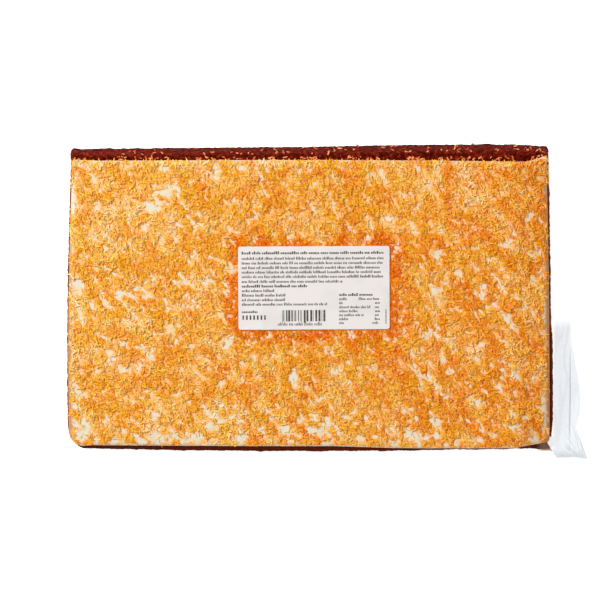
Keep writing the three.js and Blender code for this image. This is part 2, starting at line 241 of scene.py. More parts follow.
sponge = slab("sponge_slab", sponge_rings)
corners = points_of(sponge)
at_right = smoothstep(corners[:, 0], *RIGHT_END)
swell = smoothstep(-corners[:, 1], *SWELL_BEGINS) * (1 - smoothstep(-corners[:, 1], *SWELL_ENDS))
corners[:, 0] += at_right * (swell - RIGHT_TRIM)
at_back_left = smoothstep(-corners[:, 0], *LEFT_END) * smoothstep(corners[:, 1], *BACK_SIDE)
corners[:, :2] += at_back_left[:, None] * BACK_LEFT_SHIFT
move_points(sponge, corners)
from_cut = np.minimum(HALF_LENGTH - abs(corners[:, 0]), HALF_WIDTH - abs(corners[:, 1]))
open_crumb = smoothstep(corners[:, 2], *CRUST_TOP) * (1 - smoothstep(from_cut, *SEAT_RIM))
roughen(sponge, "open_crumb", CRUMB_SIZE, CRUMB_DEPTH, open_crumb, CRUMB_LEVEL)
roughen(sponge, "torn_crumb", TEAR_SIZE, TEAR_DEPTH, open_crumb)
ring_number = np.arange(len(corners)) // len(brim)
# Painted light: the ledge and the top of the wall at the front and at the right-hand end lie in the cream's
# shade, and their crumb is painted lighter.
ledge_painted_light = smoothstep(ring_number, WALL_STEPS - BRIM_STEPS, WALL_STEPS)
ledge_painted_light *= (corners[:, 1] < 0) | (corners[:, 0] > RIGHT_END[0])


def srgb(red, green, blue):
    """A colour as a paint chart gives it, 0 to 255, as the linear colour that Blender wants."""
    chart = np.array([red, green, blue]) / 255
    linear = np.where(chart <= 0.04045, chart / 12.92, ((chart + 0.055) / 1.055) ** 2.4)
    return (*(float(part) for part in linear), 1)


class Value:
    """A socket that can be calculated with: an operator adds the Math node, and node() adds any other."""

    def __init__(self, tree, socket=None):
        self.tree = tree
        self.socket = socket

    def node(self, kind, settings=None, sockets=None, out=0):
        made = self.tree.nodes.new("ShaderNode" + kind)
        for name, setting in (settings or {}).items():
            if name == "stops":
                for number, (position, colour) in enumerate(setting):
                    ramp = made.color_ramp.elements
                    stop = ramp[number] if number < 2 else ramp.new(position)
                    stop.position = position
                    stop.color = colour
            else:
                setattr(made, name, setting)
        for name, given in (sockets or {}).items():
            if isinstance(given, Value):
                self.tree.links.new(given.socket, made.inputs[name])
            else:
                made.inputs[name].default_value = given
        return Value(self.tree, made.outputs[out])

    def math(self, operation, first, second):
        return self.node("Math", {"operation": operation}, {0: first, 1: second})

    def __add__(self, other):
        return self.math("ADD", self, other)

    def __radd__(self, other):
        return self.math("ADD", other, self)

    def __sub__(self, other):
        return self.math("SUBTRACT", self, other)

    def __rsub__(self, other):
        return self.math("SUBTRACT", other, self)

    def __mul__(self, other):
        return self.math("MULTIPLY", self, other)

    def __rmul__(self, other):
        return self.math("MULTIPLY", other, self)

    def between(self, start, end):
        """A mask that rises smoothly from 0 at start to 1 at end."""
        rise = {"interpolation_type": "SMOOTHSTEP"}
        return self.node("MapRange", rise, {0: self, 1: start, 2: end, 3: 0.0, 4: 1.0})

    def mix(self, first, second):
        """The first colour where this mask is 0, the second where it is 1."""
        return self.node("Mix", {"data_type": "RGBA"}, {0: self, 6: first, 7: second}, out=2)


def finish(piece, name, paint):
    """A material for a piece. paint is given its node tree and returns the sockets of its surface shader."""
    material = bpy.data.materials.new(name)
    material.use_nodes = True
    tree = material.node_tree
    tree.nodes.clear()
    start = Value(tree)
    surface = start.node("BsdfPrincipled", {}, paint(start))
    output = tree.nodes.new("ShaderNodeOutputMaterial")
    tree.links.new(surface.socket, output.inputs["Surface"])
    piece.data.materials.clear()
    piece.data.materials.append(material)
    return material


def written(start, name):
    """What write_attribute has left on a piece under this name."""
    return start.node("Attribute", {"attribute_name": name}, out="Fac")


def speckle(start, scale, detail, roughness=0.5):
    """Blender's noise, fixed to the piece."""
    place = start.node("TexCoord", out="Object")
    sockets = {"Vector": place, "Scale": scale, "Detail": detail, "Roughness": roughness}
    return start.node("TexNoise", {}, sockets)


def bump(start, strength, distance, height):
    return start.node("Bump", {}, {"Strength": strength, "Distance": distance, "Height": height})


CRUMB_DARK = srgb(58, 8, 2)
CRUMB_MIDDLE = srgb(116, 27, 10)
CRUMB_LIGHT = srgb(142, 46, 24)
# A lighter crumb, painted light on the shaded front and right-hand ledges.
CRUMB_PAINTED_LIGHT = srgb(122, 50, 26)
BASE_CRUST_AND_SHADE = srgb(38, 4, 1)


def write_attribute(piece, name, values):
    layer = piece.data.attributes.new(name, "FLOAT", "POINT")
    layer.data.foreach_set("value", np.asarray(values, np.float32))


def carrot_sponge(start):
    place = start.node("TexCoord", out="Object")
    clumps = speckle(start, 420.0, 4.0, 0.6)
    bubbles = start.node("TexVoronoi", {}, {"Vector": place, "Scale": 620.0})
    batter = speckle(start, 60.0, 3.0)
    height = start.node("SeparateXYZ", {}, {0: place}, out=2)
    crumb = clumps.between(0.36, 0.68).mix(CRUMB_DARK, CRUMB_MIDDLE)
    crumb = (bubbles.between(0.42, 0.62) * clumps.between(0.5, 0.66)).mix(crumb, CRUMB_LIGHT)
    crumb = (batter.between(0.5, 0.75) * 0.35).mix(crumb, CRUMB_DARK)
    # The dark base crust at the foot of the wall, deepened as painted shade where it meets the table.
    crust_and_foot_shade = (1 - (height + batter * 0.004).between(0.006, 0.016)) * 0.9
    # Painted light: the shaded front and right-hand ledges get a lighter crumb.
    ledge = written(start, "ledge") * (0.3 + clumps * 0.8)
    return {
        "Base Color": ledge.mix(crust_and_foot_shade.mix(crumb, BASE_CRUST_AND_SHADE), CRUMB_PAINTED_LIGHT),
        "Roughness": 0.95,
        "Specular IOR Level": 0.03,
        "Normal": bump(start, 0.7, 0.0006, clumps * 0.6 + bubbles * 0.4),
    }


write_attribute(sponge, "ledge", ledge_painted_light)
finish(sponge, "carrot_sponge", carrot_sponge)
bpy.ops.object.shade_smooth()
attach(sponge, "root")
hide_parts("sponge")

# ---- The cream ----
# A layer of cream cheese icing, spread by knife to the edges of the sponge. It shows as a pale line round
# the cake and in streaks between the coconut, where it has taken some of the dye.

CREAM_HEIGHT = 7
TOUCH_GAP = 0.3  # between the cream's underside and the sponge
SPREAD_DEPTH = 0.3
CREAM_STEPS = (158, 100, 5)
CREAM_SEAT = (88, 64, 42, 26, 14, 6)
# Shares of the cream's height, and how far in from its plan its wall and shoulder stand there.
CREAM_WALL = ((0, 0), (0.18, -0.2), (0.35, -0.3), (0.55, -0.15), (0.72, 0.1), (0.84, 0.45), (0.93, 1),
              (0.975, 1.8), (1, 3))
TOP_SPACING = 2.2
TOP_INNERMOST = 97
KNIFE_DEPTH = 0.55
KNIFE_SIZE = 6
KNIFE_FROM = (3, 6)  # heights above the sponge over which the knife's marks set in


def cream_surface(x, y):
    """Height of the cream's top, with the shallow waves that the knife left."""
    waves = np.sin(x / 13 + y / 29) + 0.8 * np.sin(y / 11 - x / 47)
    return seat_height(x, y) + CREAM_HEIGHT + SPREAD_DEPTH * waves / 1.8


cream_rings = []
for inset in CREAM_SEAT:
    plan = cream_plan(inset, CREAM_STEPS)
    cream_rings.append(with_height(plan, seat_height(*plan.T) + TOUCH_GAP))
for share, inset in CREAM_WALL:
    plan = cream_plan(inset, CREAM_STEPS)
    low, high = seat_height(*plan.T) + TOUCH_GAP, cream_surface(*plan.T)
    cream_rings.append(with_height(plan, low + (high - low) * share))
for inset in np.arange(CREAM_WALL[-1][1] + TOP_SPACING, TOP_INNERMOST, TOP_SPACING):
    plan = cream_plan(inset, CREAM_STEPS)
    cream_rings.append(with_height(plan, cream_surface(*plan.T)))

cream = slab("cream_spread", cream_rings)
corners = points_of(cream)
on_top = smoothstep(corners[:, 2] - seat_height(*corners[:, :2].T), *KNIFE_FROM)
roughen(cream, "knife_marks", KNIFE_SIZE, KNIFE_DEPTH, on_top)

GRAIN_ANGLE = math.radians(48)  # the coconut was strewn in strokes that run down to the right
GRAIN_STRETCH = 1.7


def noise_at(x, y, seed):
    return np.array([noise.noise((along, across, seed)) for along, across in zip(x, y)])


def grain(x, y, size, seed):
    """Noise of about -0.5 to 0.5 whose patches are drawn out along the strokes of the strewing hand."""
    along = (x * math.cos(GRAIN_ANGLE) - y * math.sin(GRAIN_ANGLE)) / GRAIN_STRETCH / size
    across = (x * math.sin(GRAIN_ANGLE) + y * math.cos(GRAIN_ANGLE)) / size
    return noise_at(along, across, seed)


# Places left nearly bare: middle, half length, half width, and how many degrees they run down to the right.
BARE_PATCHES = (
    (-152, -87, 6.5, 6.0, 0), (-104, -90, 9.6, 3.6, 0), (-90, -88, 5.6, 3.3, 0),
    (-77, -90, 7.0, 3.8, 0), (-65, -82, 5.6, 3.2, 50), (-46, -90, 5.6, 3.0, 0), (-16, -86, 4.6, 3.3, 0),
    (9, -84, 5.3, 2.6, 20), (68, -88, 6.6, 4.0, 10), (84, -80, 5.3, 2.6, 60), (113, -92, 5.3, 2.6, 0),
    (147, -89, 6.0, 2.6, 60), (156, -74, 9.9, 2.6, 90), (157, -10, 14.6, 2.0, 90),
    (-11, -50, 7.9, 3.3, 100), (18, -45, 4.6, 3.0, 10), (114, 9, 6.0, 3.0, 105), (84, 8, 3.6, 3.0, 0),
    (83, 33, 6.0, 3.0, 60), (71, 90, 5.3, 3.0, 75), (128, -8, 11.9, 2.0, 50), (84, -54, 7.9, 2.0, 30),
    (-94, 78, 6.0, 3.6, 110), (-63, 91, 6.0, 2.6, 70), (-46, 92, 5.3, 2.6, 10), (-31, 95, 3.3, 2.0, 0),
    (-121, 7, 7.9, 2.3, 15), (-108, -33, 10.6, 2.6, 50), (-131, -35, 5.3, 3.3, 40),
    (-54, -26, 6.0, 2.6, -20), (-155, 14, 6.0, 3.3, 60), (-156, 70, 10.6, 2.0, 90),
    (-155, 94, 4.0, 2.0, 0), (-142, 84, 4.6, 2.0, 60), (-121, 93, 4.0, 2.0, 0),
    (-106, 65, 4.0, 2.6, -40), (-76, -77, 3.3, 2.3, 60), (53, 57, 4.0, 3.3, 0), (68, 51, 4.0, 2.3, 50),
    (-54, 23, 4.0, 2.6, 60),
)
GAP_COVER = 0.16  # how thickly the coconut lies between its clumps
CLUMP_COVER = 0.76  # and how much more there is of it in them
CLUMP_SIZES = (3.6, 1.7)
CLUMP_EDGE = (-0.36, -0.05)
FRONT_THINNER = 0.12
FRONT_STRIP = (55, 90)  # distances from the middle over which it thins out to the front
PATCH_BARENESS = 0.85
PATCH_EDGE = (0.65, 1.6)  # in shares of the patch's half length and half width
PATCH_RAGGED = 0.9
THIN_END = (153, 158)  # distances along X over which it thins out to the right
THIN_COVER = 0.45
LEAST_COVER = 0.02


def strewn(x, y):
    """How thickly the coconut lies, from 0 on bare cream to 1."""
    clumps = grain(x, y, CLUMP_SIZES[0], 1.5) + 0.5 * grain(x, y, CLUMP_SIZES[1], 20.5)
    cover = GAP_COVER - FRONT_THINNER * smoothstep(-y, *FRONT_STRIP)
    cover += CLUMP_COVER * smoothstep(clumps, *CLUMP_EDGE)
    ragged = PATCH_RAGGED * grain(x, y, 2.2, 33.5)
    for middle_x, middle_y, half_length, half_width, turn in BARE_PATCHES:
        cos, sin = math.cos(math.radians(turn)), math.sin(math.radians(turn))
        off_x, off_y = x - middle_x, y - middle_y
        along, across = (off_x * cos - off_y * sin) / half_length, (off_x * sin + off_y * cos) / half_width
        outside = smoothstep(np.hypot(along, across) + ragged, *PATCH_EDGE)
        cover = cover * (1 - PATCH_BARENESS * (1 - outside))
    return np.clip(cover, LEAST_COVER, 1) * (1 - (1 - THIN_COVER) * smoothstep(x, *THIN_END))


DUST_FROM = (5.5, 7)  # heights above the sponge over which the dye's dust sets in
# The ends and the back of the cream are a darker tan: partly a stain from the sponge, and on the steep end
# walls partly painted shade. It sets in over these distances from the middle and stops over these rings of
# the mesh, which are counted from the innermost.
STAIN_AND_SHADE_RIGHT = (152, 157)
STAIN_AND_SHADE_LEFT = (156, 159)
STAIN_AND_SHADE_BACK = (85, 92)
BACK_STAIN_AND_SHADE = 0.5
STAIN_AND_SHADE_RINGS = (12, 15)

corners = points_of(cream)
x, y, z = corners.T
dusted = strewn(x, y) * smoothstep(z - seat_height(x, y), *DUST_FROM)
write_attribute(cream, "dusting", dusted)
ring_number = np.arange(len(corners)) // len(cream_rings[0])
stain_and_shade = np.maximum(smoothstep(x, *STAIN_AND_SHADE_RIGHT), smoothstep(-x, *STAIN_AND_SHADE_LEFT))
stain_and_shade = np.maximum(stain_and_shade, BACK_STAIN_AND_SHADE * smoothstep(y, *STAIN_AND_SHADE_BACK))
write_attribute(cream, "end stain and shade", stain_and_shade * (1 - smoothstep(ring_number, *STAIN_AND_SHADE_RINGS)))

CREAM_IVORY = srgb(216, 216, 200)
CREAM_SHADE = srgb(221, 203, 172)
CREAM_DYED = srgb(238, 174, 90)
CREAM_STAIN_AND_SHADE = srgb(176, 122, 74)
CREAM_GLOW = srgb(255, 170, 90)  # light that the dyed shreds throw back on the cream between them


def icing(start):
    smears = speckle(start, 110.0, 3.0)
    pits = speckle(start, 700.0, 2.0)
    dusting = written(start, "dusting").between(0.08, 0.4) * (0.6 + pits * 0.4)
    colour = dusting.mix(smears.between(0.4, 0.7).mix(CREAM_IVORY, CREAM_SHADE), CREAM_DYED)
    return {
        # The darker tan is a stain from the sponge, with painted shade on the steep end walls.
        "Base Color": written(start, "end stain and shade").mix(colour, CREAM_STAIN_AND_SHADE),
        "Roughness": 0.55,
        "Specular IOR Level": 0.1,
        "Emission Color": CREAM_GLOW,
        "Emission Strength": 0.06,
        "Normal": bump(start, 0.5, 0.0004, smears + pits * 0.3),
    }


finish(cream, "cream_icing", icing)
bpy.ops.object.shade_smooth()
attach(cream, "root")
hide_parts("cream_topping")

# ---- The coconut ----
# Desiccated coconut, grated into fine strips 2 to 4 mm long and dyed from pale peach to deep orange. It was
# strewn by hand over the wet cream, so it lies in heaps and thin places. It is grouped by how deep an orange
# it is given, which is its dye, deepened by painted shade low in the heaps.

SHRED_LENGTH = (1.8, 4.4)
SHRED_WIDTH = (0.7, 1.25)
SHRED_THICKNESS = (0.45, 0.85)
USUAL_SIZE = 0.35  # how far up its range a size is likeliest to be
UNDERSIDE_PAINTED_SHADE = 0.5  # painted shade: how much deeper the orange is for each millimetre down a shred, so its top is paler
SHREDS_THROWN = 72000
LABEL_LENGTH = 100
LABEL_WIDTH = 56
LABEL_MIDDLE = (2.4, 11.4)
LABEL_UNDERSIDE = 39.27
LABEL_RIM = 3  # shreds are only left out further in under the label than this

random = np.random.default_rng(41)


def as_pattern(modelled):
    """The corners and triangles of a shape that is in edit mode, to be laid many times. The object goes."""
    bpy.ops.mesh.select_all(action="SELECT")
    bpy.ops.mesh.quads_convert_to_tris()
    bpy.ops.mesh.normals_make_consistent(inside=False)
    bpy.ops.object.mode_set(mode="OBJECT")
    corners = np.array([corner.co for corner in modelled.data.vertices])
    faces = np.array([face.vertices for face in modelled.data.polygons])
    bpy.data.objects.remove(modelled)
    return corners, faces


def joined_piece(name, points, faces):
    mesh = bpy.data.meshes.new(name)
    mesh.from_pydata((points * MM).tolist(), [], faces.tolist())
    piece = bpy.data.objects.new(name, mesh)
    bpy.context.scene.collection.objects.link(piece)
    return piece


def shred_shape(bow, hook, narrow):
    """One shred of unit size along X: a three-sided sliver with a bow and one narrower end."""
    bpy.ops.object.select_all(action="DESELECT")
    bpy.ops.mesh.primitive_cylinder_add(vertices=3, radius=0.55, depth=1, rotation=(0, math.pi / 2, 0))
    sliver = bpy.context.object
    bpy.ops.object.transform_apply(rotation=True)
    bpy.ops.object.mode_set(mode="EDIT")
    bpy.ops.mesh.select_all(action="DESELECT")
    shape = bmesh.from_edit_mesh(sliver.data)
    for side in shape.edges:
        side.select_set(abs(side.verts[0].co.x - side.verts[1].co.x) > 0.5)
    bpy.ops.mesh.subdivide(number_cuts=1)
    for far, sideways, width in ((0, bow, 1), (0.5, hook, narrow), (-0.5, 0, 0.8)):
        bpy.ops.mesh.select_all(action="DESELECT")
        shape = bmesh.from_edit_mesh(sliver.data)
        for corner in shape.verts:
            corner.select_set(abs(corner.co.x - far) < 0.1)
        shape.select_flush(True)
        bmesh.update_edit_mesh(sliver.data)
        bpy.ops.transform.resize(value=(1, width, width), center_override=(far, 0, 0))
        bpy.ops.transform.translate(value=(0, sideways, 0))
    return as_pattern(sliver)


SHRED_SHAPES = [shred_shape(*form) for form in ((0.12, -0.1, 0.6), (-0.22, 0.2, 0.65), (0.32, 0.1, 0.5))]


def turned(points, angle, first, second):
    """Points turned by an angle each, from one axis towards another."""
    cos, sin = np.cos(angle)[:, None], np.sin(angle)[:, None]
    made = points.copy()
    made[..., first] = points[..., first] * cos - points[..., second] * sin
    made[..., second] = points[..., first] * sin + points[..., second] * cos
    return made


def coconut(name, middles, sizes, roll, pitch, yaw, tones, warmth):
    """Many shreds joined into one piece, each with its own size, turns, place, depth and warmth of dye. Each
    is painted a deeper orange towards its underside, as shade.
    """
    points, faces, dyes_and_shade, warms, count = [], [], [], [], 0
    shape_of = np.arange(len(middles)) % len(SHRED_SHAPES)
    for number, (corners, sides) in enumerate(SHRED_SHAPES):
        own = shape_of == number
        laid = corners[None] * sizes[own][:, None]
        laid = turned(laid, roll[own], 1, 2)
        laid = turned(laid, pitch[own], 0, 2)
        laid = turned(laid, yaw[own], 0, 1)
        # Painted shade: each shred's underside is given a deeper orange and its top a paler one.
        dyes_and_shade.append((tones[own][:, None] - UNDERSIDE_PAINTED_SHADE * laid[..., 2]).ravel())
        laid += middles[own][:, None]
        points.append(laid.reshape(-1, 3))
        each = np.arange(own.sum())[:, None, None] * len(corners)
        faces.append((sides[None] + each + count).reshape(-1, 3))
        warms.append(np.repeat(warmth[own], len(corners)))
        count += len(points[-1])
    piece = joined_piece(name, np.concatenate(points), np.concatenate(faces))
    write_attribute(piece, "dye_and_shade", np.concatenate(dyes_and_shade))
    write_attribute(piece, "warmth", np.concatenate(warms))
    return piece


# The ground that the shreds fall on, as a map of heights.
PILE_CELL = 0.6
MAP_MARGIN = 4
FELT_FROM = 60  # the height from which the ground is felt for
depsgraph = bpy.context.evaluated_depsgraph_get()
cream_ground, sponge_ground = (BVHTree.FromObject(piece, depsgraph) for piece in (cream, sponge))
map_x = np.arange(-HALF_LENGTH - MAP_MARGIN, HALF_LENGTH + MAP_MARGIN, PILE_CELL)
map_y = np.arange(-HALF_WIDTH - MAP_MARGIN, HALF_WIDTH + MAP_MARGIN, PILE_CELL)


def ground_height(x, y):
    for surface in (cream_ground, sponge_ground):
        hit = surface.ray_cast(Vector((x * MM, y * MM, FELT_FROM * MM)), Vector((0, 0, -1)))[0]
        if hit:
            return hit.z / MM
    return 0


ground = np.array([[ground_height(x, y) for x in map_x] for y in map_y])


def cell_of(x, y):
    column = np.clip(((x - map_x[0]) / PILE_CELL + 0.5).astype(int), 0, len(map_x) - 1)
    row = np.clip(((y - map_y[0]) / PILE_CELL + 0.5).astype(int), 0, len(map_y) - 1)
    return row, column


def under_label(x, y, rim):
    """Whether places lie further in under the label than its rim."""
    off_x, off_y = abs(x - LABEL_MIDDLE[0]), abs(y - LABEL_MIDDLE[1])
    return (off_x < LABEL_LENGTH / 2 - rim) & (off_y < LABEL_WIDTH / 2 - rim)


# Shreds thrown over the whole cake, of which as many are kept as lie strewn on the cream there.
CREAM_FROM = 4.5  # ground that is higher than this above the sponge is cream
thrown_x = random.uniform(-HALF_LENGTH, HALF_LENGTH, SHREDS_THROWN)
thrown_y = random.uniform(-HALF_WIDTH - FRONT_BOW, HALF_WIDTH, SHREDS_THROWN)
on_cream = ground[cell_of(thrown_x, thrown_y)] > seat_height(thrown_x, thrown_y) + CREAM_FROM
kept = on_cream & (random.random(SHREDS_THROWN) < strewn(thrown_x, thrown_y))
kept &= ~under_label(thrown_x, thrown_y, LABEL_RIM)

# Further shreds that stick out over the back edge and point more or less outwards.
LONG_SIDE = HALF_WIDTH * 0.8  # an edge that lies further out than this is a long side
OVERHANGING = 560
OVERHANG_SCATTER = 1
OVERHANG_REACH = (-2, 0.7)
cream_edge = cream_plan(0, CREAM_STEPS)
back_edge = cream_edge[cream_edge[:, 1] > LONG_SIDE]
back_edge = back_edge[random.integers(0, len(back_edge), OVERHANGING)]
back_edge += random.uniform(-OVERHANG_SCATTER, OVERHANG_SCATTER, (OVERHANGING, 1))
back_edge[:, 1] += random.uniform(*OVERHANG_REACH, OVERHANGING)
x = np.concatenate([thrown_x[kept], back_edge[:, 0]])
y = np.concatenate([thrown_y[kept], back_edge[:, 1]])
count = len(x)
overhangs = np.arange(count) >= kept.sum()

# How the shreds lie, seen from above: more than half of them nearly along the strokes of the hand.
WITH_GRAIN = 0.6
GRAIN_SPREAD = 0.5
ANY_WAY = 6.3
OVERHANG_SPREAD = 0.8
sizes = np.column_stack([random.triangular(low, low + (high - low) * USUAL_SIZE, high, count)
                         for low, high in (SHRED_LENGTH, SHRED_WIDTH, SHRED_THICKNESS)])
with_grain = random.random(count) < WITH_GRAIN
grain_yaw = random.normal(-GRAIN_ANGLE, GRAIN_SPREAD, count)
yaw = np.where(with_grain, grain_yaw, random.uniform(0, ANY_WAY, count))
yaw = np.where(overhangs, random.normal(math.pi / 2, OVERHANG_SPREAD, count), yaw)

# A shred that would stick out over an edge falls off, except by these chances. The front edge is kept clear.
STATIONS = np.array([-0.45, -0.2, 0, 0.2, 0.45])  # where along its length a shred feels what is under it
HOLDS_FROM = 5  # ground that is lower than this above the sponge doesn't hold up an end
FRONT_CLEARANCE = 0.55
ENDS_FROM = 150
STAYS_AT_LEFT = 0.9
STAYS_AT_RIGHT = 0.3
STAYS_AT_BACK = 0.75
STAYS_ANYWHERE = 0.006
ends_x = x[:, None] + sizes[:, :1] * STATIONS * np.cos(yaw)[:, None]
ends_y = y[:, None] + sizes[:, :1] * STATIONS * np.sin(yaw)[:, None]
sticks_out = (ground[cell_of(ends_x, ends_y)] < seat_height(ends_x, ends_y) + HOLDS_FROM).any(axis=1)
front_edge = cream_edge[cream_edge[:, 1] < -LONG_SIDE]
front_edge = front_edge[np.argsort(front_edge[:, 0])]
from_front = (ends_y - np.interp(ends_x, *front_edge.T)).min(axis=1)
clear = from_front > FRONT_CLEARANCE
chance = np.where(x > ENDS_FROM, STAYS_AT_RIGHT, np.where(y > 0, STAYS_AT_BACK, 0))
chance = np.where(x < -ENDS_FROM, STAYS_AT_LEFT, chance) * clear
stays = overhangs | (~sticks_out & clear) | (random.random(count) < STAYS_ANYWHERE + chance)
x, y, sizes, yaw, from_front = (part[stays] for part in (x, y, sizes, yaw, from_front))
count = len(x)

# The shreds come down a few at a time, each on the cream and the shreds that lie there already.
FALL_TOGETHER = 250
PILE_HIGHEST = 1.5
PILE_AT_FRONT = 0.25  # of that height right at the front edge, rising to all of it
PILE_RISES_OVER = 6
EDGE_LEVEL = 5.6  # above the sponge, where shreds lie that stick out over the cream's edge
EDGE_DROP = 2  # ground that drops away by more than this isn't felt
STEEPEST = 0.6
PRESSED_IN = 0.12
HALF_THICKNESS = 0.35  # of a shred's thickness, above its middle and below
highest = PILE_HIGHEST * (PILE_AT_FRONT + (1 - PILE_AT_FRONT) * smoothstep(from_front, 0, PILE_RISES_OVER))
pitch = np.zeros(count)
z = np.zeros(count)
pile = ground.copy()
for batch in np.array_split(np.arange(count), count // FALL_TOGETHER):
    reach = sizes[batch, :1] * STATIONS
    rows, columns = cell_of(x[batch][:, None] + reach * np.cos(yaw[batch])[:, None],
                            y[batch][:, None] + reach * np.sin(yaw[batch])[:, None])
    level = pile[rows, columns]
    base = np.maximum(ground[rows[:, 2], columns[:, 2]], seat_height(x[batch], y[batch]) + EDGE_LEVEL)
    level = np.where(level < base[:, None] - EDGE_DROP, base[:, None], level)
    slope = np.clip((level[:, 4] - level[:, 0]) / sizes[batch, 0], -STEEPEST, STEEPEST)
    rest = np.maximum(level[:, 2], (level[:, 0] + level[:, 4]) / 2)
    rest = np.clip(rest, base, base + highest[batch]) - PRESSED_IN
    z[batch] = rest + sizes[batch, 2] * HALF_THICKNESS
    pitch[batch] = np.arctan(slope)
    tops = z[batch][:, None] + slope[:, None] * reach + sizes[batch, 2:] * HALF_THICKNESS
    np.maximum.at(pile, (rows, columns), tops)

# None is higher than the label's underside near it, and the rest are tumbled a little.
NEAR_LABEL = 1.5
LABEL_GAP = 0.1
HIGHEST = 40.2
WIDTH_ABOVE = 0.6  # of a shred's width, above its middle
TUMBLED = 0.12
near_label = under_label(x, y, -NEAR_LABEL)
half_rise = abs(np.sin(pitch)) * sizes[:, 0] / 2 + sizes[:, 1] * WIDTH_ABOVE
z = np.minimum(z, np.where(near_label, LABEL_UNDERSIDE - LABEL_GAP, HIGHEST) - half_rise)
pitch += random.normal(0, TUMBLED, count) * ~near_label
roll = random.uniform(0, 2 * math.pi, count)

# Round the label the shreds are a deeper, warmer orange, out to about this distance from its edge.
LABEL_DEEPENING_REACH = 7
DEEPENING_EVEN = 0.55
DEEPENING_UNEVEN = 0.65
off_label_x = np.maximum(abs(x - LABEL_MIDDLE[0]) - LABEL_LENGTH / 2, 0)
off_label_y = np.maximum(abs(y - LABEL_MIDDLE[1]) - LABEL_WIDTH / 2, 0)
by_label = np.exp(-((np.hypot(off_label_x, off_label_y) / LABEL_DEEPENING_REACH) ** 2))
by_label *= DEEPENING_EVEN + DEEPENING_UNEVEN * smoothstep(grain(x, y, 8, 140.5), -0.3, 0.2)

# Depth of orange from 0 to 1, mostly dye with some painted shade: what it is on the whole, and how much each
# thing adds to it or takes from it.
DYE_DEPTH = 0.765
DYE_ALONG = 0.0004  # for each millimetre towards the right
DYE_GRAIN = 0.2
DEEPER_BY_LABEL = 0.62
DYE_BY_CHANCE = 0.06
PALE_SMALL = 0.26
PALE_LARGE = 0.2
PALE_WHERE_THIN = 0.25
# Painted light and shade: how much paler a shred is for each millimetre higher in its heap.
PAINTED_LIGHT_UP_PILE = 0.12
PILE_MIDDLE = 0.7
above = z - np.maximum(ground[cell_of(x, y)], seat_height(x, y) + EDGE_LEVEL)
pale_small = smoothstep(-grain(x, y, 6, 60.5), 0.05, 0.35)
pale_large = smoothstep(-grain(x, y, 16, 80.5), 0.05, 0.35)
thin = 1 - smoothstep(strewn(x, y), 0.1, 0.7)
tone = DYE_DEPTH + DYE_ALONG * x + DYE_GRAIN * grain(x, y, 5, 60.5)
tone = tone - PALE_SMALL * pale_small - PALE_LARGE * pale_large
tone += random.normal(0, DYE_BY_CHANCE, count) + DEEPER_BY_LABEL * by_label - PALE_WHERE_THIN * thin
# Painted light and shade: a shred high in its heap is paler, one low down deeper.
tone = np.clip(tone - PAINTED_LIGHT_UP_PILE * (above - PILE_MIDDLE), 0, 1)

# Warmth of dye, from 0 for golden to 1 for orange.
WARMTH = 0.38
WARMTH_ALONG = 0.0012
WARMTH_SMALL = 0.8
WARMTH_LARGE = 0.3
WARMTH_BY_LABEL = 0.9
WARMTH_BY_CHANCE = 0.1
warmth = WARMTH + WARMTH_ALONG * x + WARMTH_SMALL * grain(x, y, 5, 100.5)
warmth = warmth + WARMTH_LARGE * grain(x, y, 17, 120.5) + WARMTH_BY_LABEL * by_label
warmth = np.clip(warmth + random.normal(0, WARMTH_BY_CHANCE, count), 0, 1)

# Equal heaps, from the palest to the deepest orange, dye and painted shade together.
TONE_GROUPS = ("coconut_pale", "coconut_golden", "coconut_amber", "coconut_orange", "coconut_deep")

GOLDEN_STOPS = (
    (0, srgb(236, 221, 176)),
    (0.2, srgb(238, 208, 124)),
    (0.4, srgb(236, 194, 76)),
    (0.6, srgb(233, 178, 46)),
    (0.8, srgb(228, 158, 20)),
    (1, srgb(220, 134, 6)),
)
WARM_STOPS = (
    (0, srgb(238, 215, 176)),
    (0.2, srgb(240, 196, 130)),
    (0.4, srgb(239, 178, 84)),
    (0.6, srgb(237, 158, 46)),
    (0.8, srgb(233, 137, 20)),
    (1, srgb(224, 98, 8)),
)
DYE_GLOW = srgb(216, 104, 4)  # light that comes back out of the dyed shreds, seen where they lie in shade


def dyed_coconut(start):
    # The attribute carries the dye and the painted shade on each shred's underside.
    depth = written(start, "dye_and_shade") + speckle(start, 1500.0, 2.0) * 0.2 - 0.1
    golden = start.node("ValToRGB", {"stops": GOLDEN_STOPS}, {0: depth})
    warm = start.node("ValToRGB", {"stops": WARM_STOPS}, {0: depth})
    return {
        "Base Color": written(start, "warmth").mix(golden, warm),
        "Roughness": 0.6,
        "Specular IOR Level": 0.06,
        "Emission Color": DYE_GLOW,
        "Emission Strength": 0.1,
    }


middles = np.column_stack([x, y, z])
coconut_finish = None
for name, own in zip(TONE_GROUPS, np.array_split(np.argsort(tone), len(TONE_GROUPS))):
    heap = coconut(name, middles[own], sizes[own], roll[own], pitch[own], yaw[own], tone[own], warmth[own])
    if coconut_finish:
        heap.data.materials.append(coconut_finish)
    else:
        coconut_finish = finish(heap, "dyed_coconut", dyed_coconut)
    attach(heap, "root")

# ---- The fallen coconut ----
# Shreds that fell on the ledge and down the back, in loose clumps and more of them towards the right. They
# stuck to the sponge and took up its damp. One has come to lie on the table.

